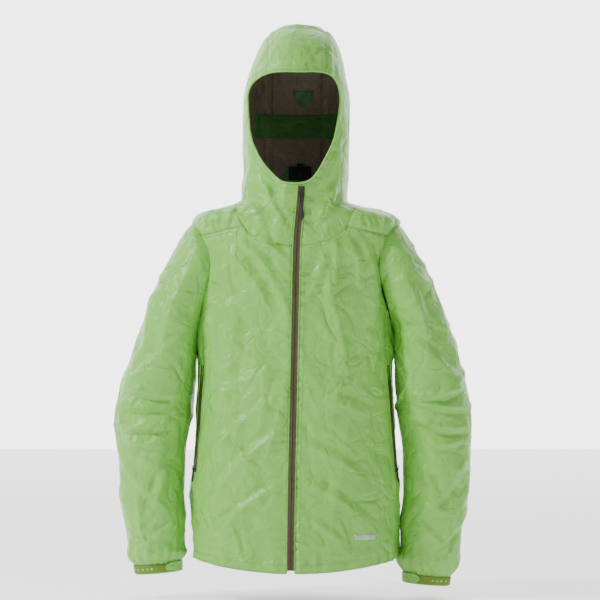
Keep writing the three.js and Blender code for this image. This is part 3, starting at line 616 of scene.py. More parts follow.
# ------------------------------------------------------------------ building pieces
class Tailor:
    """Turns mapped grids, tubes and stitches into finished pieces."""

    def __init__(self, wardrobe: Wardrobe) -> None:
        """Keeps the wardrobe that pieces are dressed from."""
        self.wardrobe = wardrobe

    def piece(self, name: str, bm: bmesh.types.BMesh, finishes: Sequence[str], body: str,
              replaces: Sequence[str] = (), slot: str = "shell_fabric",
              thick: float = 0.0) -> bpy.types.Object:
        """Makes an object of a bmesh whose vertices are in build millimetres.

        Args:
            name: the object's name.
            bm: its shape, which is used up.
            finishes: outer and, where it differs, inner finish.
            body: the body it rides on, or an empty string.
            replaces: nodes it stands for.
            slot: material slot of the record; not used.
            thick: thickness to add inwards, in metres.

        Returns:
            The new object.
        """
        for v in bm.verts:
            v.co = Vector((np.array(v.co) - PEG) / 1000)
        mesh = bpy.data.meshes.new(name)
        bm.to_mesh(mesh)
        bm.free()
        mesh.polygons.foreach_set("use_smooth", [True] * len(mesh.polygons))
        obj = bpy.data.objects.new(name, mesh)
        bpy.context.scene.collection.objects.link(obj)
        for finish in finishes:
            mesh.materials.append(self.wardrobe[finish])
        if thick:
            solid = obj.modifiers.new("thickness", "SOLIDIFY")
            solid.thickness, solid.offset = thick, -1
            solid.material_offset = len(finishes) - 1
        if body:
            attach(obj, body)
        if replaces:
            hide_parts(*replaces)
        LOG.info("made %s", name)
        return obj

    def grid(self, columns: int, rows: int, place: Place, closed: bool = False) -> bmesh.types.BMesh:
        """Grid mapped to a surface.

        Args:
            columns: cells across.
            rows: cells up.
            place: gives points for shares across and up.
            closed: joins the first and last columns.

        Returns:
            The mapped grid.
        """
        bm = bmesh.new()
        bmesh.ops.create_grid(bm, x_segments=columns, y_segments=rows, size=0.5)
        shares = np.array([v.co[:2] for v in bm.verts]) + 0.5
        for v, p in zip(bm.verts, place(shares[:, 0], shares[:, 1])):
            v.co = p
        if closed:
            bmesh.ops.remove_doubles(bm, verts=bm.verts, dist=0.01)
        return bm

    def tube(self, name: str, path: Array, radius: float, finish: str, body: str, closed: bool = False,
             slot: str = "shell_fabric") -> bpy.types.Object:
        """Round piping along a path.

        Args:
            name: the object's name.
            path: N x 3 points in build millimetres.
            radius: in millimetres.
            finish: its finish.
            body: body it rides on.
            closed: True for a ring.
            slot: material slot of the record.

        Returns:
            The new object.
        """
        curve = bpy.data.curves.new(name, "CURVE")
        curve.dimensions, curve.bevel_depth, curve.bevel_resolution = "3D", radius, 2
        curve.use_fill_caps = True
        spline = curve.splines.new("POLY")
        spline.points.add(len(path) - 1)
        for point, at in zip(spline.points, path):
            point.co = (*at, 1)
        spline.use_cyclic_u = closed
        carrier = bpy.data.objects.new(name + "_path", curve)
        bpy.context.scene.collection.objects.link(carrier)
        mesh = bpy.data.meshes.new_from_object(carrier)
        bpy.data.objects.remove(carrier)
        bm = bmesh.new()
        bm.from_mesh(mesh)
        bmesh.ops.remove_doubles(bm, verts=bm.verts, dist=0.001)
        return self.piece(name, bm, (finish,), body, slot=slot)

    def stitches(self, name: str, path: Array, body: str, pitch: float = 3.4) -> bpy.types.Object:
        """A row of separate stitches laid along a path.

        Args:
            name: the object's name.
            path: N x 3 points in build millimetres.
            body: body it rides on.
            pitch: stitch spacing in millimetres.

        Returns:
            The new object.
        """
        bm = bmesh.new()
        gaps = np.r_[0, np.cumsum(np.linalg.norm(np.diff(path, axis=0), axis=1))]
        for s in np.arange(pitch, gaps[-1] - pitch, pitch):
            at, to = (np.array([np.interp(s + d, gaps, path[:, k]) for k in range(3)]) for d in (0, 1))
            turn = Vector(to - at).to_track_quat("X", "Z").to_matrix().to_4x4()
            size = Matrix.Diagonal((pitch * 0.64, 0.6, 0.6, 1))
            bmesh.ops.create_cube(bm, size=1, matrix=Matrix.Translation(at) @ turn @ size)
        return self.piece(name, bm, ("thread",), body)


# ------------------------------------------------------------------ seams
def catmull_ring(corners: Sequence[tuple[float, float]], steps: int) -> Array:
    """Closed smooth curve through corners.

    Args:
        corners: points of the outline.
        steps: points between two corners.

    Returns:
        N x 2 points.
    """
    c = np.array(corners, float)
    t = (np.arange(steps) / steps)[None, :, None]
    a, b, d, e = (np.roll(c, k, 0)[:, None, :] for k in (1, 0, -1, -2))
    ring = 0.5 * (2 * b + (d - a) * t + (2 * a - 5 * b + 4 * d - e) * t**2 + (3 * b - a - 3 * d + e) * t**3)
    return ring.reshape(-1, 2)


@dataclass
class Seams:
    """Signed functions whose zero lines are the jacket's seams and openings."""

    form: BodyForm
    side_line: Profile = Profile((30, 174), (165, 176), (203, 174.5), (385, 161), (495, 161), (634, 173))
    neck_front: Profile = Profile(
        (0, 594), (20, 594), (50, 601), (76, 613), (96, 640), (106, 668), (400, 668))
    neck_back: Profile = Profile((0, 700), (25, 699), (60, 692), (91, 668), (400, 668))
    yoke_level: float = 626.0
    yoke_fall: float = 0.24
    back_half: float = 138.0
    crown_half: float = 50.0
    slot_half: float = 6.2
    face_corners: tuple[tuple[float, float], ...] = (
        (-41, 892), (8, 893), (50, 892), (71, 878), (78, 844), (69, 784), (52, 745), (34, 715), (15, 703),
        (-18, 703), (-37, 715), (-59, 741), (-75, 778), (-80, 818), (-81, 860), (-68, 880))

    def __post_init__(self) -> None:
        """Works out the face opening's outline."""
        self.outline = catmull_ring(self.face_corners, 10)

    def neck_level(self, x: Array, front: Array) -> Array:
        """Level of the seam under the hood.

        Args:
            x: sideways places.
            front: where the front half is asked for.

        Returns:
            The seam's level.
        """
        return np.where(front, self.neck_front(np.abs(x)), self.neck_back(np.abs(x)))

    def neck(self, p: Array) -> Array:
        """Above 0 in the hood."""
        return p[:, 2] - self.neck_level(p[:, 0], p[:, 1] < 0)

    def yoke(self, p: Array) -> Array:
        """Above 0 over the yoke seams."""
        return p[:, 2] - self.yoke_level + self.yoke_fall * np.maximum(np.abs(p[:, 0]) - 101, 0)

    def front(self, p: Array) -> Array:
        """Above 0 between the side seams of the front."""
        return np.where(p[:, 1] < 0, self.side_line(p[:, 2]) - np.abs(p[:, 0]), -5)

    def back(self, p: Array) -> Array:
        """Above 0 in the back panel."""
        return np.where(p[:, 1] > 0, self.back_half - np.abs(p[:, 0]), -30)

    def middle(self, p: Array) -> Array:
        """Above 0 to the wearer's left of the zip."""
        return p[:, 0] - np.where(p[:, 1] < 0, ZIP.centre(p[:, 2]), 0)

    def slot(self, p: Array) -> Array:
        """Positive where the front is open under the main zip.

        Args:
            p: N x 3 points.

        Returns:
            Signed distance in millimetres.
        """
        beside = self.slot_half - np.abs(p[:, 0] - ZIP.centre(p[:, 2]) - 0.3)
        return np.minimum(np.minimum(beside, -p[:, 1] - 1), ZIP.top - 4 - p[:, 2])

    def crown(self, p: Array) -> Array:
        """Above 0 in the strip over the crown."""
        return np.minimum(self.crown_half - np.abs(p[:, 0] - 2), np.maximum(p[:, 1] - 20, p[:, 2] - 872))

    def face(self, p: Array) -> Array:
        """Above 0 inside the face opening.

        Args:
            p: N x 3 points.

        Returns:
            Signed distance from the opening's edge, in millimetres.
        """
        value = np.full(len(p), -50.0)
        near = np.flatnonzero((p[:, 1] < 0) & (p[:, 2] > 690))
        a, b = self.outline, np.roll(self.outline, -1, 0)
        q = p[near][:, None, [0, 2]]
        way = (b - a)[None]
        share = np.clip(((q - a) * way).sum(-1) / (way**2).sum(-1), 0, 1)
        gap = np.linalg.norm(q - a - way * share[..., None], axis=-1).min(1)
        cross = ((a[:, 1] > q[..., 1]) != (b[:, 1] > q[..., 1]))
        rise = np.where(b[:, 1] == a[:, 1], 1e-9, b[:, 1] - a[:, 1])
        hits = cross & (q[..., 0] < (b[:, 0] - a[:, 0]) * (q[..., 1] - a[:, 1]) / rise + a[:, 0])
        value[near] = np.where(hits.sum(1) % 2 == 1, gap, -gap)
        return value


# ------------------------------------------------------------------ arms
@dataclass
class SleeveForm:
    """Smooth form of one sleeve, from inside the shoulder to the wrist."""

    side: Side
    wrist_out: float
    wrist_drop: float
    stations: tuple[tuple[float, float, float, float, float], ...] = (
        (150, 642, 128, 505, 58), (180, 634, 145, 495, 66), (214, 577, 158, 478, 72),
        (240, 520, 172, 445, 74), (263, 464, 174, 401, 73), (285, 404, 175, 361, 70),
        (302, 350, 178, 325, 65), (312, 305, 182, 289, 61), (309, 240, 185, 238, 57),
        (302, 150, 187.5, 152, 53), (291, 88, 189.5, 94, 47), (281, 42, 191.5, 50, 41))
    folds: tuple[Fold, ...] = (
        Fold((300, 352), (188, 338), 10, 6), Fold((312, 316), (196, 330), 9, 5),
        Fold((308, 280), (184, 300), 10, 5.5), Fold((300, 262), (230, 250), 9, 4),
        Fold((205, 585), (262, 430), 12, 5), Fold((190, 540), (232, 400), 13, 5),
        Fold((238, 520), (285, 380), 10, 4), Fold((185, 440), (280, 360), 11, 4),
        Fold((298, 230), (215, 130), 11, 4), Fold((196, 240), (250, 120), 12, 4),
        Fold((292, 120), (235, 70), 8, 4), Fold((200, 120), (262, 62), 8, 3.5),
        Fold((270, 180), (255, 60), 9, 3),
    )

    def __post_init__(self) -> None:
        """Lays a smooth curve through each column of the stations."""
        t = range(len(self.stations))
        self.tracks = [Profile(*zip(t, column)) for column in zip(*self.stations)]

    def edges(self, t: Array) -> tuple[Array, Array, Array]:
        """Outer edge, inner edge and half depth.

        Args:
            t: place along the stations.

        Returns:
            Two N x 2 arrays and one of N.
        """
        t = np.asarray(t, float)
        xo, zo, xi, zi, depth = (np.interp(t, range(12), c) * 0.35 + 0.65 * f(t)
                                 for c, f in zip(zip(*self.stations), self.tracks))
        reach = (t / 11) ** 3
        shift = np.stack([self.wrist_out * reach, -self.wrist_drop * reach], -1)
        return np.stack([xo, zo], -1) + shift, np.stack([xi, zi], -1) + shift, depth

    def at(self, t: Array, angle: Array, offset: float = 0.0) -> Array:
        """Points of the form; angle 0 is the outer edge and a quarter turn the front.

        Args:
            t: place along the stations.
            angle: in radians.
            offset: distance outwards.

        Returns:
            N x 3 points.
        """
        outer, inner, depth = self.edges(t)
        centre, reach = (outer + inner) / 2, (outer - inner) / 2
        size = np.linalg.norm(reach, axis=-1, keepdims=True)
        xz = centre + reach * (1 + offset / size) * np.cos(angle)[..., None]
        return np.stack([self.side.value * xz[..., 0], -(depth + offset) * np.sin(angle), xz[..., 1]], -1)

    def hole(self, p: Array) -> Array:
        """Above 0 inside the sleeve, for cutting the armhole.

        Args:
            p: N x 3 points.

        Returns:
            The sleeve's implicit value in about millimetres.
        """
        value = np.full(len(p), -50.0)
        near = np.flatnonzero((p[:, 0] * self.side.value > 115) & (p[:, 2] > 380) & (p[:, 2] < 662))
        t = np.linspace(0, 6, 90)
        outer, inner, depth = self.edges(t)
        centre, reach = (outer + inner) / 2, (outer - inner) / 2
        size = np.linalg.norm(reach, axis=-1)
        across = reach / size[:, None]
        q = np.stack([p[near, 0] * self.side.value, p[near, 2]], -1)[:, None] - centre
        gap = np.abs(q[..., 0] * across[:, 1] - q[..., 1] * across[:, 0])
        best = gap.argmin(1)
        rows = np.arange(len(near))
        a = (q[rows, best] * across[best]).sum(-1) / size[best]
        b = p[near, 1] / depth[best]
        behind = (best == 0) & (gap[rows, best] > 3)
        value[near] = np.where(behind, -50, 40 * (1 - np.sqrt(a**2 + b**2)))
        return value

    def start(self, angle: Array, form: BodyForm) -> Array:
        """Place along the stations where the sleeve leaves the body.

        Args:
            angle: in radians.
            form: the body.

        Returns:
            One place for each angle.
        """
        t = np.linspace(0, 6, 241)
        grid_t, grid_a = np.meshgrid(t, angle)
        value = form.inside(self.at(grid_t.ravel(), grid_a.ravel()).reshape(-1, 3)).reshape(grid_t.shape)
        last = (value < 0) @ np.ones(len(t))
        i = np.clip(last.astype(int), 1, len(t) - 1)
        rows = np.arange(len(angle))
        low, high = value[rows, i - 1], value[rows, i]
        return t[i - 1] + np.clip(-low / np.where(high == low, 1, high - low), 0, 1) * (t[1] - t[0])

    def relief(self, p: Array, v: Array) -> Array:
        """Height of folds above the smooth sleeve.

        Args:
            p: N x 3 points.
            v: share of the way down from the armhole.

        Returns:
            Height in millimetres.
        """
        x, y, z = np.abs(p[:, 0]), p[:, 1], p[:, 2]
        front = smooth(-25, 25, -y)
        lift = (0.35 + 0.65 * front) * sum(f.lift(x, z) for f in self.folds)
        elbow = np.exp(-(((z - 315) / 60) ** 2))
        seed = 20 + self.side.value
        lift += (4.4 + 3.4 * elbow) * creases(p * [0.8, 1, 1.2], 92, seed) + 2.1 * creases(p, 42, seed + 30)
        lift += 0.35 * noise(p, 40, seed + 4)
        puff = 5.5 * np.exp(-(((v - 0.955) / 0.03) ** 2))
        lift = lift * (1 - (1 - smooth(208, 228, x)) * smooth(110, 140, z) * (1 - smooth(275, 305, z)))
        lift -= 4.5 * (1 - smooth(215, 238, x)) * smooth(120, 165, z) * (1 - smooth(240, 290, z))
        gather = 1.8 * smooth(0.9, 0.97, v) * np.sin(np.arctan2(y, x - 236) * 17 + z * 0.03)
        cuffed = puff + gather * (1 - smooth(0.985, 1, v))
        return lift * smooth(0, 0.05, v) * (1 - smooth(0.94, 1, v)) + cuffed


@dataclass
class CuffForm:
    """The turned-in wrist band below a sleeve."""

    sleeve: SleeveForm

    def __post_init__(self) -> None:
        """Takes the band's middle, size and direction from the sleeve's end."""
        outer, inner, depth = self.sleeve.edges(np.array([11.0]))
        side = self.sleeve.side.value
        self.outer = np.array([side * outer[0, 0], 0, outer[0, 1]])
        self.inner = np.array([side * inner[0, 0], 0, inner[0, 1]])
        self.across = (self.outer - self.inner) / np.linalg.norm(self.outer - self.inner)
        self.down = np.array([side * self.across[2], 0, -abs(self.across[0])])
        self.half, self.depth = float(np.linalg.norm(self.outer - self.inner) / 2), float(depth[0])

    def at(self, angle: Array, down: Array, offset: Array) -> Array:
        """Points round the wrist.

        Args:
            angle: in radians, 0 outside and a quarter turn in front.
            down: distance below the sleeve's end.
            offset: distance outwards.

        Returns:
            N x 3 points.
        """
        squeeze = np.interp(down, [0, 5, 22], [0, 3.5, 5])
        a, b = self.half - squeeze + offset, self.depth - squeeze + offset
        centre = (self.outer + self.inner) / 2
        front = np.array([0.0, -1.0, 0.0])
        outer = np.multiply.outer
        return (centre + outer(down, self.down) + outer(a * np.cos(angle), self.across)
                + outer(b * np.sin(angle), front))


# ------------------------------------------------------------------ sub-assemblies
@dataclass
class Shell:
    """Trunk and hood panels cut from one folded sheet along the seams."""

    form: BodyForm
    seams: Seams
    sleeves: tuple[SleeveForm, SleeveForm]
    columns: int = 280
    rows: int = 250

    def cut(self) -> None:
        """Lays the sheet out and moves its points onto the seams."""
        bm = bmesh.new()
        bmesh.ops.create_grid(bm, x_segments=self.columns, y_segments=self.rows, size=0.5)
        bmesh.ops.triangulate(bm, faces=bm.faces)
        self.bm = bm
        shares = np.array([v.co[:2] for v in bm.verts]) + 0.5
        bm.verts.index_update()
        edges = np.array([[v.index for v in e.verts] for e in bm.edges])
        self.tris = np.array([[v.index for v in f.verts] for f in bm.faces])
        locked = np.zeros(len(shares), bool)
        seams = self.seams
        cuts = [seams.neck, seams.face, *(arm.hole for arm in self.sleeves), seams.slot, seams.yoke,
                seams.front, seams.back, seams.crown, seams.middle]
        for line in cuts:
            value = line(self.form.sheet(*shares.T))
            a, b = edges[value[edges[:, 0]] * value[edges[:, 1]] < 0].T
            t = value[a] / (value[a] - value[b])
            near, far = np.where(t < 0.5, a, b), np.where(t < 0.5, b, a)
            share = np.minimum(t, 1 - t)
            order = np.argsort(-share)
            near, far, share = near[order], far[order], share[order]
            moved = shares[near] + (shares[far] - shares[near]) * share[:, None]
            free = ~locked[near]
            shares[near[free]] = moved[free]
            locked[near[free]] = True
        smooth_form = self.form.sheet(*shares.T)
        normal = self.normals(smooth_form, shares)
        relief = self.form.relief(smooth_form) - self.groove(smooth_form)
        self.points = smooth_form + normal * (relief * self.calm(smooth_form))[:, None]
        self.normal = normal
        self.middles = smooth_form[self.tris].mean(1)

    def normals(self, p: Array, shares: Array) -> Array:
        """Outward normals of the sheet's points.

        Args:
            p: N x 3 points.
            shares: their shares round and up.

        Returns:
            N x 3 unit normals.
        """
        corners = p[self.tris]
        flat = np.cross(corners[:, 1] - corners[:, 0], corners[:, 2] - corners[:, 0])
        total = np.zeros_like(p)
        for k in range(3):
            np.add.at(total, self.tris[:, k], flat)
        self.flip = float((total * (p - [0, 0, 500]) * [1, 1, 0]).sum()) < 0
        total *= -1 if self.flip else 1
        left, right = (np.flatnonzero(np.abs(shares[:, 0] - end) < 1e-6) for end in (0, 1))
        left, right = left[np.argsort(shares[left, 1])], right[np.argsort(shares[right, 1])]
        if len(left) == len(right):
            total[left] = total[right] = total[left] + total[right]
        return total / np.maximum(np.linalg.norm(total, axis=1), 1e-9)[:, None]

    def groove(self, p: Array) -> Array:
        """Depth of the valley that stitching pulls along the seams.

        Args:
            p: N x 3 points.

        Returns:
            Depth in millimetres.
        """
        s = self.seams
        lines = [s.neck(p), s.yoke(p) + 999 * (s.neck(p) > 3), s.front(p) + 999 * (s.neck(p) > 0),
                 s.crown(p) + 999 * (s.neck(p) < 0)]
        return sum(1.3 * np.exp(-((line / 3.2) ** 2)) for line in lines)

    @staticmethod
    def calm(p: Array) -> Array:
        """Share of the folds that is left beside hardware.

        Args:
            p: N x 3 points.

        Returns:
            Factors from 0 to 1.
        """
        x, y, z = p.T
        line = pocket_line(z)
        along = smooth(185, 200, z) * (1 - smooth(390, 405, z)) * (y < 0)
        welt = np.exp(-(((np.abs(x) - line) / 11) ** 2)) * along
        zipper = np.exp(-(((x - ZIP.centre(z)) / 8) ** 2)) * (y < 0) * (z < 704)
        return (1 - 0.9 * welt) * (1 - 0.95 * zipper)

    def labels(self) -> dict[str, Array]:
        """Faces of each panel.

        Returns:
            A mask of faces by the panel's name.
        """
        s, p = self.seams, self.middles
        gone = (s.face(p) > 0) | (s.slot(p) > 0)
        for arm in self.sleeves:
            gone |= arm.hole(p) > 0
        neck, yoke, back, front, crown = (f(p) > 0 for f in (s.neck, s.yoke, s.back, s.front, s.crown))
        masks = {"hood_centre_panel": neck & crown & ~gone, "back_panel": ~neck & ~yoke & back & ~gone}
        for side in Side:
            half = (s.middle(p) > 0) == (side is Side.LEFT)
            masks[f"{side.word}_hood_panel"] = neck & ~crown & half & ~gone
            masks[f"{side.word}_shoulder_yoke"] = ~neck & yoke & half & ~gone
            masks[f"{side.word}_front_panel"] = ~neck & ~yoke & front & half & ~gone
            masks[f"{side.word}_side_panel"] = ~neck & ~yoke & ~front & ~back & half & ~gone
        return masks

    def part(self, keep: Array, inwards: float = 0.0) -> bmesh.types.BMesh:
        """Copy of some of the sheet's faces.

        Args:
            keep: mask of faces.
            inwards: distance to move in.

        Returns:
            The faces as a bmesh.
        """
        bm = self.bm.copy()
        places = self.points - self.normal * inwards
        for v, p in zip(bm.verts, places):
            v.co = p
        bmesh.ops.delete(bm, geom=[f for f, kept in zip(list(bm.faces), keep) if not kept], context="FACES")
        bmesh.ops.remove_doubles(bm, verts=bm.verts, dist=0.02)
        if self.flip:
            bmesh.ops.reverse_faces(bm, faces=bm.faces)
        return bm

    def build(self, tailor: Tailor) -> None:
        """Makes the panels, the hem facing and their stitching.

        Args:
            tailor: maker of pieces.
        """
        self.cut()
        for name, keep in self.labels().items():
            bm = self.part(keep)
            area = sum(f.calc_area() for f in bm.faces) / 1e6
            rise = max(v.co.z for v in bm.verts) - min(v.co.z for v in bm.verts)
            panel = tailor.piece(f"{name}_cloth", bm, ("shell", "lining"), "jacket", (name,), thick=0.0006)
            cloth(area, max(rise / 1000 * 1.05, math.sqrt(area)))
        level = self.form.hem_level + self.form.hem_rise * np.minimum((self.middles[:, 0] / 179) ** 2, 1.4)
        x, y, z = self.middles.T
        facing = self.part((z < level + 40) & ((np.abs(x - ZIP.centre(z)) > 18) | (y > 0)), 1.3)
        area = sum(f.calc_area() for f in facing.faces) / 1e6
        hem = tailor.piece("hem_facing_cloth", facing, ("lining",), "jacket", ("hem_facing",),
                           "inner_laminate", 0.0005)
        cloth(area, area / 0.034)
        self.stitch(tailor)

    def stitch(self, tailor: Tailor) -> None:
        """Lays stitching along the seams.

        Args:
            tailor: maker of pieces.
        """
        surface = self.form.surface
        u = np.linspace(0, 1, 420, endpoint=False)
        rows = {"hem_stitching": 15.0, "hem_edge_stitching": 3.0}
        for name, lift in rows.items():
            ring = self.form.sheet(u, np.zeros_like(u))
            ring = self.form.level(u, ring[:, 2] + lift)
            front = ring[:, 1] < 0
            shown = front & (np.abs(ring[:, 0]) < 172)
            path = ring[shown][np.argsort(ring[shown][:, 0])]
            tailor.stitches(name, self.on_cloth(path[:, 0], path[:, 2], True, 0.1), "jacket")
        for side in Side:
            z = np.linspace(60, 600, 180)
            edge = side.value * (self.seams.side_line(z) - 4)
            tailor.stitches(f"{side.word}_side_seam_stitching", self.on_cloth(edge, z, True, 0.1), "jacket")
            x = np.linspace(22, 92, 40) * side.value
            below = self.seams.neck_level(x, np.full(x.shape, True)) - 4
            tailor.stitches(f"{side.word}_neck_stitching", self.on_cloth(x, below, True, 0.1), "jacket")
            z = np.linspace(60, 585, 150)
            if side is Side.LEFT:
                beside = self.on_cloth(ZIP.centre(z) + 15, z, True, 0.1)
                tailor.stitches("placket_stitching", beside, "jacket")
            x = np.linspace(108, 156, 30) * side.value
            tailor.stitches(f"{side.word}_yoke_stitching",
                            self.on_cloth(x, 622 - 0.24 * (np.abs(x) - 101), True, 0.1), "jacket")

    def on_cloth(self, x: Array, z: Array, front: bool, offset: float) -> Array:
        """Points on the calmed and folded cloth.

        Args:
            x: sideways places.
            z: levels.
            front: True for the front half.
            offset: distance outwards.

        Returns:
            N x 3 points.
        """
        flat = self.form.surface(x, z, front, 0.0)
        x, z = np.broadcast_arrays(np.asarray(x, float), np.asarray(z, float))
        share = np.clip(np.abs((x - self.form.lean(z)) / self.form.half(z)), 0, 0.995) ** SQUARENESS
        depth = self.form.depth(z, np.full(z.shape, front)) * (1 - share) ** (1 / SQUARENESS)
        base = np.stack([x, -depth if front else depth, z], -1)
        way = flat - base
        lift = self.form.relief(base)
        normal = way / np.where(np.abs(lift) < 1e-6, 1e-6, lift)[:, None]
        return base + normal * ((lift - self.groove(base)) * self.calm(base) + offset)[:, None]


def cloth(area: float, length: float) -> None:
    """Works out a sheet's width from its cut area and length, and keeps nothing.

    Args:
        area: its cut area in square metres.
        length: its cut length in metres.
    """
    width = max(area / (length * 0.82), 0.012)
    area * 0.985


NARROWEST = 0.0102


def flat_sheet(piece: bpy.types.Object, place: Place) -> None:
    """Measures the lengths of a narrow layer's middle lines, and keeps nothing.

    Args:
        piece: the piece; not used.
        place: gives its points for shares across and up.
    """
    along, middle = np.linspace(0, 1, 60), np.full(60, 0.5)
    lines = place(along, middle), place(middle, along)
    across, up = (float(np.linalg.norm(np.diff(line, axis=0), axis=1).sum()) / 1000 for line in lines)
    if min(across, up) < NARROWEST:
        return


@dataclass
class Sleeve:
    """One sleeve with its armhole stitching, cuff band, strip and tab."""

    form: SleeveForm
    body: BodyForm
    columns: int = 150
    rows: int = 210
    tuck: float = 0.06

    def build(self, tailor: Tailor) -> None:
        """Makes the sleeve and its cuff.

        Args:
            tailor: maker of pieces.
        """
        word, side = self.form.side.word, self.form.side.value
        angles = np.linspace(0, 2 * math.pi, 181)
        starts = self.form.start(angles, self.body) - self.tuck

        def smooth_at(u: Array, v: Array) -> Array:
            """Points of the sleeve without folds.

            Args:
                u: share of the way round.
                v: share of the way down.

            Returns:
                N x 3 points.
            """
            angle = 2 * math.pi * u
            begin = np.interp(angle, angles, starts)
            return self.form.at(begin + (11 - begin) * v, angle)

        def place(u: Array, v: Array) -> Array:
            """Points of the folded sleeve.

            Args:
                u: share of the way round.
                v: share of the way down.

            Returns:
                N x 3 points.
            """
            p = smooth_at(u, v)
            normal = np.cross(smooth_at(u + 1e-3, v) - p, smooth_at(u, np.minimum(v, 0.999) + 1e-3)
                              - smooth_at(u, np.minimum(v, 0.999)))
            normal /= np.maximum(np.linalg.norm(normal, axis=1), 1e-9)[:, None]
            return p + side * normal * self.form.relief(p, v)[:, None]

        bm = tailor.grid(self.columns, self.rows, place, closed=True)
        bmesh.ops.recalc_face_normals(bm, faces=bm.faces)
        facing = sum((f.normal.y * (-1 if f.calc_center_median().y < 0 else 1)) for f in bm.faces)
        if facing < 0:
            bmesh.ops.reverse_faces(bm, faces=bm.faces)
        area = sum(f.calc_area() for f in bm.faces) / 1e6
        nodes = (f"{word}_sleeve_front", f"{word}_sleeve_back")
        sleeve = tailor.piece(f"{word}_sleeve_cloth", bm, ("shell", "lining"), "", nodes, thick=0.0006)
        self.bend(sleeve)
        cloth(area, 0.66)
        path = smooth_at(np.linspace(0, 1, 160), np.full(160, 0.012))
        path = path[(path[:, 1] < 40)]
        tailor.stitches(f"{word}_armhole_stitching", path, "jacket")
        self.cuff(tailor)

    def bend(self, piece: bpy.types.Object) -> None:
        """Bakes the sleeve cloth's placement into its mesh.

        Args:
            piece: the sleeve's cloth.
        """
        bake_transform(piece)

    def cuff(self, tailor: Tailor) -> None:
        """Makes the cuff band, the strip with its dots and the tab.

        Args:
            tailor: maker of pieces.
        """
        word = self.form.side.word
        form, body = CuffForm(self.form), f"{word}_sleeve"

        def band(u: Array, v: Array) -> Array:
            """Points of the rippled band.

            Args:
                u: share of the way round.
                v: share of the way down.

            Returns:
                N x 3 points.
            """
            a = 2 * math.pi * u
            ripple = 0.7 * np.sin(a * 26) * np.sin(math.pi * v)
            return form.at(a, -8 + 30 * v, ripple - 0.3 - 2.5 * (1 - smooth(0, 0.3, v)))

        self.layer(tailor, f"{word}_cuff_band_cloth", 160, 14, band, ("shell", "lining"), body,
                   (f"{word}_cuff_band",), "shell_fabric", 0.0012, True)

        def strip(u: Array, v: Array) -> Array:
            """Points of the strip on the band."""
            return form.at(np.radians(-100 + 240 * u), 6 + 14 * v, 1.7 + 0.15 * np.sin(u * 90))

        self.layer(tailor, f"{word}_cuff_strip_tape", 90, 8, strip, ("strip",), body, (f"{word}_cuff_strip",),
                   "cuff_strip", 0.0012)
        dots = bmesh.new()
        for angle in np.radians((39, 54, 66, 77)):
            at = form.at(np.array([angle]), np.array([13.0]), np.array([2.0]))[0]
            out = form.at(np.array([angle]), np.array([13.0]), np.array([3.0]))[0] - at
            spin = Vector(out).to_track_quat("Z", "Y").to_matrix().to_4x4()
            shape = Matrix.Translation(at) @ spin @ Matrix.Diagonal((1, 1, 0.45, 1))
            bmesh.ops.create_uvsphere(dots, u_segments=16, v_segments=8, radius=2.0, matrix=shape)
        tailor.piece(f"{word}_cuff_dots", dots, ("dot",), body, slot="cuff_strip")

        def tab(u: Array, v: Array) -> Array:
            """Points of the tab with its round end.

            Args:
                u: share of its length.
                v: share of its width.

            Returns:
                N x 3 points.
            """
            angle = 168.5 - 60.5 * u
            shrink = np.sqrt(np.clip(1 - np.clip((u - 0.72) / 0.28, 0, 1) ** 2, 0.0, 1))
            return form.at(np.radians(angle), 12.5 + (v - 0.5) * 17 * np.maximum(shrink, 0.02), 3.6 + 0 * u)

        self.layer(tailor, f"{word}_cuff_tab_cloth", 40, 12, tab, ("shell",), f"{word}_cuff_tab",
                   (f"{word}_cuff_tab",), "shell_fabric", 0.0016)

    @staticmethod
    def layer(tailor: Tailor, name: str, columns: int, rows: int, place: Place,
              finishes: Sequence[str], body: str, nodes: Sequence[str], slot: str, thick: float,
              closed: bool = False) -> bpy.types.Object:
        """Makes one layer round the wrist, facing outwards.

        Args:
            tailor: maker of pieces.
            name: the object's name.
            columns: cells across.
            rows: cells down.
            place: gives points for shares across and down.
            finishes: outer and, where it differs, inner finish.
            body: body it rides on.
            nodes: nodes it stands for.
            slot: material slot of the record.
            thick: thickness in metres.
            closed: True where it goes all the way round.

        Returns:
            The layer.
        """
        bm = tailor.grid(columns, rows, place, closed=closed)
        bm.normal_update()
        middle = sum((v.co for v in bm.verts), Vector()) / len(bm.verts)
        if closed:
            facing = sum(f.normal.dot(f.calc_center_median() - middle) for f in bm.faces)
        else:
            facing = sum(-f.normal.y for f in bm.faces if f.calc_center_median().y < 0)
        if facing < 0:
            bmesh.ops.reverse_faces(bm, faces=bm.faces)
        piece = tailor.piece(name, bm, finishes, body, nodes, slot, thick)
        flat_sheet(piece, place)
        return piece


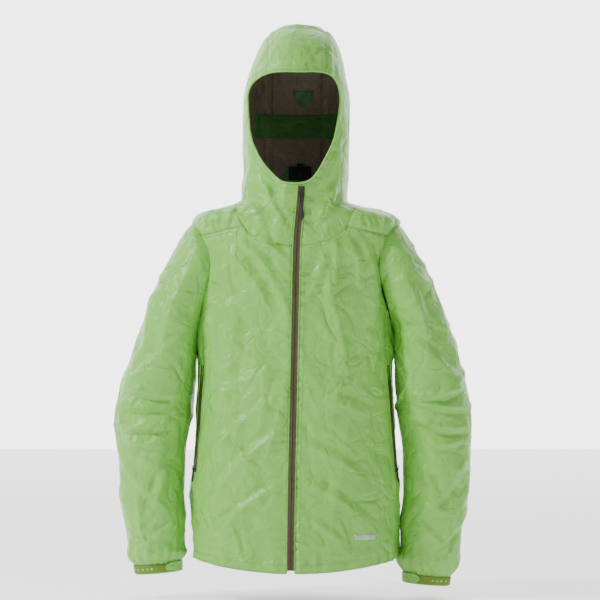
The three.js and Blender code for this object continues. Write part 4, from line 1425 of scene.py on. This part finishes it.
@dataclass
class Details:
    """Zips, hood edge and everything sewn inside."""

    shell: Shell

    def strip(self, tailor: Tailor, name: str, place: Place, finish: str, slot: str,
              nodes: Sequence[str], cells: tuple[int, int], thick: float = 0.0006) -> None:
        """Makes a flat layer that lies on the cloth.

        Args:
            tailor: maker of pieces.
            name: the object's name.
            place: gives points for shares across and up.
            finish: its finish.
            slot: material slot of the record.
            nodes: nodes it stands for.
            cells: columns and rows.
            thick: thickness in metres.
        """
        bm = tailor.grid(*cells, place)
        bm.normal_update()
        if sum(f.normal.y for f in bm.faces) > 0:
            bmesh.ops.reverse_faces(bm, faces=bm.faces)
        flat_sheet(tailor.piece(name, bm, (finish,), "jacket", nodes, slot, thick), place)

    def build(self, tailor: Tailor) -> None:
        """Makes all details.

        Args:
            tailor: maker of pieces.
        """
        self.main_zip(tailor)
        for side in Side:
            self.pocket(tailor, side)
        self.hood_edge(tailor)
        self.inside(tailor)

    def main_zip(self, tailor: Tailor) -> None:
        """Tape halves, coil, lips, flap and guard of the main zip.

        Args:
            tailor: maker of pieces.
        """
        at = self.shell.on_cloth
        z = np.linspace(ZIP.bottom + 2, ZIP.top, 260)
        for side in Side:
            def tape(u: Array, v: Array, s: int = side.value) -> Array:
                """Points of one tape half.

                Args:
                    u: share outwards.
                    v: share up.
                    s: sign of the side.

                Returns:
                    N x 3 points.
                """
                level = ZIP.bottom + (ZIP.top - ZIP.bottom) * v
                ridge = 0.8 + 0.7 * np.exp(-(((u - 0.12) / 0.16) ** 2))
                return at(ZIP.centre(level) + s * (0.35 + 5.6 * u), level, True, ridge)

            def coil(u: Array, v: Array, s: int = side.value) -> Array:
                """Points of one coil half.

                Args:
                    u: share outwards.
                    v: share up.
                    s: sign of the side.

                Returns:
                    N x 3 points.
                """
                level = ZIP.bottom + 8 + (ZIP.top - 20 - ZIP.bottom) * v
                tooth = 0.5 * np.sin(v * 2600) * (1 - u)
                return at(ZIP.centre(level) + s * (0.3 + 2.6 * u), level, True, -1.6 - tooth)

            word = side.word
            for part, place, cells in (("tape", tape, (8, 300)), ("coil", coil, (3, 900))):
                self.strip(tailor, f"{word}_zip_{part}_half", place, part, f"zip_{part}",
                           (f"{word}_zip_{part}",), cells)
            lip = at(ZIP.centre(z) + side.value * 6.9, z, True, 0.5)
            tailor.tube(f"{word}_zip_lip", lip, 1.0, "shell", "jacket")

        def flap(u: Array, v: Array) -> Array:
            """Points of the flap behind the zip."""
            level = 45 + 640 * v
            return at(ZIP.centre(level) - 12 + 28 * u, level, True, -8.5)

        def guard(u: Array, v: Array) -> Array:
            """Points of the guard behind the chin."""
            level = 636 + 58 * v
            return at(ZIP.centre(level) - 14 + 29 * u, level, True, -9.8)

        self.strip(tailor, "storm_flap_cloth", flap, "lining", "inner_laminate", ("storm_flap",), (8, 120))
        self.strip(tailor, "chin_guard_cloth", guard, "shell", "shell_fabric", ("chin_guard",), (10, 20))

    def pocket(self, tailor: Tailor, side: Side) -> None:
        """Welted zip and bag of one hand pocket.

        Args:
            tailor: maker of pieces.
            side: side of the pocket.
        """
        at, word, s = self.shell.on_cloth, side.word, side.value

        def tape(u: Array, v: Array) -> Array:
            """Points of the pocket's tape.

            Args:
                u: share across.
                v: share up.

            Returns:
                N x 3 points.
            """
            z = 201 + 186 * v
            lift = 0.9 - 0.5 * np.exp(-(((u - 0.5) / 0.08) ** 2)) - 0.7 * smooth(335, 370, z)
            return at(s * (pocket_line(z) + (u - 0.5) * 5.6), z, True, lift)

        self.strip(tailor, f"{word}_pocket_zip_tape", tape, "tape", "zip_tape", (f"{word}_pocket_zip",),
                   (10, 90))
        z = np.linspace(199, 389, 70)
        for place, edge in (("in", -3.6), ("out", 3.6)):
            lip = at(s * (pocket_line(z) + edge), z, True, 0.3)
            tailor.tube(f"{word}_pocket_lip_{place}", lip, 0.9, "shell", "jacket")

        def bag(u: Array, v: Array) -> Array:
            """Points of the pocket's bag.

            Args:
                u: share outwards.
                v: share up.

            Returns:
                N x 3 points.
            """
            z = 96 + 290 * v
            inner = np.interp(z, [96, 290, 392], [52, 66, 118])
            return at(s * (inner + (150 - inner) * u), z, True, -4.4)

        self.strip(tailor, f"{word}_pocket_bag_cloth", bag, "lining", "inner_laminate",
                   (f"{word}_pocket_bag",), (20, 40))

    def hood_edge(self, tailor: Tailor) -> None:
        """Binding round the face opening with its stitching.

        Args:
            tailor: maker of pieces.
        """
        at = self.shell.on_cloth
        ring = self.shell.seams.outline
        edge = at(ring[:, 0], ring[:, 1], True, 0.0)
        binding = tailor.tube("face_opening_binding_cord", edge, 1.9, "shell", "jacket", True)
        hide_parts("face_opening_binding")
        centre = ring.mean(0)
        away = ring - centre
        wide = ring + away / np.linalg.norm(away, axis=1)[:, None] * 9
        keep = np.abs(wide[:, 0]) < 84
        tailor.stitches("face_opening_stitching", at(wide[keep][:, 0], wide[keep][:, 1], True, 0.1), "jacket")

    def inside(self, tailor: Tailor) -> None:
        """Layers inside the hood and neck, the loop and the reflective bar.

        Args:
            tailor: maker of pieces.
        """
        at = self.shell.on_cloth

        def patch(x0: float, x1: float, z0: float, z1: float, offset: float, front: bool = False,
                  half_round: bool = False) -> Place:
            """Mapping of a patch that lies on the cloth.

            Args:
                x0: first side.
                x1: second side.
                z0: level of its lower end.
                z1: level of its upper end.
                offset: distance outwards.
                front: True on the front half.
                half_round: True where it narrows to a round end.

            Returns:
                The mapping.
            """
            def place(u: Array, v: Array) -> Array:
                """Points of the patch.

                Args:
                    u: share across.
                    v: share up.

                Returns:
                    N x 3 points.
                """
                narrow = np.sqrt(np.clip(1 - (1 - v) ** 2, 0.0004, 1)) if half_round else 1.0
                x = (x0 + x1) / 2 + (u - 0.5) * (x1 - x0) * narrow
                return at(x, z0 + (z1 - z0) * v, front, offset)
            return place

        # The band and patches inside the hood use the shell green darkened as painted shade.
        rows = (
            ("hood_back_band", patch(-72, 76, 787, 831, -1.6), "shell_inner", "shell_fabric", (50, 18)),
            ("hood_adjuster_patch", patch(-4, 34, 845, 875, -1.6, half_round=True), "shell_inner",
             "shell_fabric", (20, 14)),
            ("nape_patch", patch(-23, 39, 744, 704, -1.6, half_round=True), "shell_inner",
             "shell_fabric", (24, 18)),
            ("neck_label", patch(-12, 28, 714, 737, -2.6), "webbing", "black_webbing", (16, 10)),
        )
        for name, place, finish, slot, cells in rows:
            self.strip(tailor, f"{name}_cloth", place, finish, slot, (name,), cells)
        for side in Side:
            def tape(u: Array, v: Array, s: int = side.value) -> Array:
                """Points of one seam tape."""
                return at(2 + s * (43 + 14 * u), 712 + 190 * v, False, -1.5)
            name = f"{side.word}_hood_seam_tape"
            self.strip(tailor, f"{name}_cloth", tape, "lining", "inner_laminate", (name,), (5, 60))
        self.strip(tailor, "hood_brim_stiffener_cloth", patch(-58, 66, 898, 932, -1.8, True), "lining",
                   "inner_laminate", ("hood_brim_stiffener",), (30, 10))
        self.strip(tailor, "reflective_bar_film", patch(101, 137, 88, 97, 0.5, True), "reflective",
                   "reflective_film", ("reflective_bar",), (16, 5), 0.0003)

        def loop(u: Array, v: Array) -> Array:
            """Points of the loop, which bows away from the nape.

            Args:
                u: share across.
                v: share up.

            Returns:
                N x 3 points.
            """
            z = 706 + 36 * v
            base = at(np.full(len(v), 8.0), z, False, -3.0)
            base[:, 0] = 2.5 + 11 * u
            base[:, 1] -= 9.5 * np.sin(math.pi * v) ** 0.6
            return base

        self.strip(tailor, "hanging_loop_tape", loop, "webbing", "black_webbing", ("hanging_loop",), (6, 30),
                   0.0011)


@dataclass
class Hardware:
    """Finishes for the sliders, pulls and stops that keep their mechanical shapes."""

    finishes: dict[str, str] = field(default_factory=lambda: {
        "main_slider": "slider", "main_pull": "pull", "left_pocket_slider": "slider",
        "right_pocket_slider": "slider", "left_pocket_pull": "pull", "right_pocket_pull": "pull",
        "left_zip_top_stop": "slider", "right_zip_top_stop": "slider", "zip_retainer_box": "coil"})

    def build(self, wardrobe: Wardrobe) -> None:
        """Paints the pieces.

        Args:
            wardrobe: the materials.
        """
        for name, finish in self.finishes.items():
            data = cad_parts[name].data
            data.materials.clear()
            data.materials.append(wardrobe[finish])


@dataclass
class Studio:
    """Pale floor, soft lights and a long lens."""

    width: float = 1.05
    distance: float = 6.0
    target: tuple[float, float, float] = (0.0, -0.0744, -0.2295)
    floor_level: float = -0.75
    wall_away: float = 5.9

    def build(self) -> None:
        """Makes the surroundings, lights and camera."""
        scene = bpy.context.scene
        world = bpy.data.worlds.new("studio")
        world.use_nodes = True
        world.node_tree.nodes["Background"].inputs[0].default_value = (1, 1, 1, 1)
        world.node_tree.nodes["Background"].inputs[1].default_value = 0.5
        scene.world = world
        self.backdrop(self.floor())
        self.lamp("key", (-2.4, -1.2, 2.0), 120, 0.4)
        self.lamp("fill", (1.6, -3.0, 0.4), 8, 1.6)
        camera = bpy.data.cameras.new("camera")
        camera.lens = 36 * self.distance / self.width
        camera.clip_end = 50
        eye = bpy.data.objects.new("camera", camera)
        eye.location = Vector(self.target) + Vector((0, -self.distance, 0))
        eye.rotation_euler = (math.pi / 2, 0, 0)
        scene.collection.objects.link(eye)
        scene.camera = eye

    def floor(self) -> bpy.types.Material:
        """Adds the pale floor.

        Returns:
            Its material.
        """
        bm = bmesh.new()
        bmesh.ops.create_grid(bm, x_segments=1, y_segments=1, size=6)
        mesh = bpy.data.meshes.new("floor")
        bm.to_mesh(mesh)
        bm.free()
        floor = bpy.data.objects.new("floor", mesh)
        floor.location.z = self.floor_level
        pale = bpy.data.materials.new("pale")
        pale.use_nodes = True
        shine = pale.node_tree.nodes["Principled BSDF"]
        shine.inputs["Base Color"].default_value = (0.9, 0.9, 0.9, 1)
        shine.inputs["Emission Color"].default_value = (1, 1, 1, 1)
        shine.inputs["Emission Strength"].default_value = 0.5
        mesh.materials.append(pale)
        bpy.context.scene.collection.objects.link(floor)
        return pale

    def backdrop(self, pale: bpy.types.Material) -> None:
        """Adds a bright wall far behind the jacket, clear when seen from its back.

        Args:
            pale: the floor's material, which the wall shares the tone of.
        """
        bm = bmesh.new()
        turn = Matrix.Translation((0, self.wall_away, 0)) @ Matrix.Rotation(math.pi / 2, 4, "X")
        bmesh.ops.create_grid(bm, x_segments=1, y_segments=1, size=8, matrix=turn)
        mesh = bpy.data.meshes.new("wall")
        bm.to_mesh(mesh)
        bm.free()
        glow = pale.copy()
        surface = glow.node_tree.nodes["Principled BSDF"]
        surface.inputs["Emission Color"].default_value = (1, 1, 1, 1)
        surface.inputs["Emission Strength"].default_value = 3.0
        nodes, links = glow.node_tree.nodes, glow.node_tree.links
        kinds = ("NewGeometry", "BsdfTransparent", "MixShader")
        side, clear, mix = (nodes.new(f"ShaderNode{kind}") for kind in kinds)
        links.new(side.outputs["Backfacing"], mix.inputs[0])
        links.new(surface.outputs[0], mix.inputs[1])
        links.new(clear.outputs[0], mix.inputs[2])
        links.new(mix.outputs[0], nodes["Material Output"].inputs["Surface"])
        mesh.materials.append(glow)
        wall = bpy.data.objects.new("wall", mesh)
        bpy.context.scene.collection.objects.link(wall)

    def lamp(self, name: str, at: tuple[float, float, float], power: float, size: float) -> None:
        """Adds a soft area light aimed at the jacket.

        Args:
            name: its name.
            at: its place.
            power: in watts.
            size: in metres.
        """
        data = bpy.data.lights.new(name, "AREA")
        data.energy, data.size = power, size
        light = bpy.data.objects.new(name, data)
        light.location = at
        light.rotation_euler = (Vector(self.target) - Vector(at)).to_track_quat("-Z", "Y").to_euler()
        bpy.context.scene.collection.objects.link(light)


def main() -> None:
    """Builds the jacket in order."""
    logging.basicConfig(level=logging.INFO)
    wardrobe = Wardrobe()
    tailor = Tailor(wardrobe)
    form = BodyForm()
    arms = (SleeveForm(Side.RIGHT, 5, 0), SleeveForm(Side.LEFT, -6, 20))
    shell = Shell(form, Seams(form), arms)
    shell.build(tailor)
    LOG.info("shell done")
    for arm in arms:
        Sleeve(arm, form).build(tailor)
    Details(shell).build(tailor)
    Hardware().build(wardrobe)
    Studio().build()


if __name__ == "__main__":
    main()
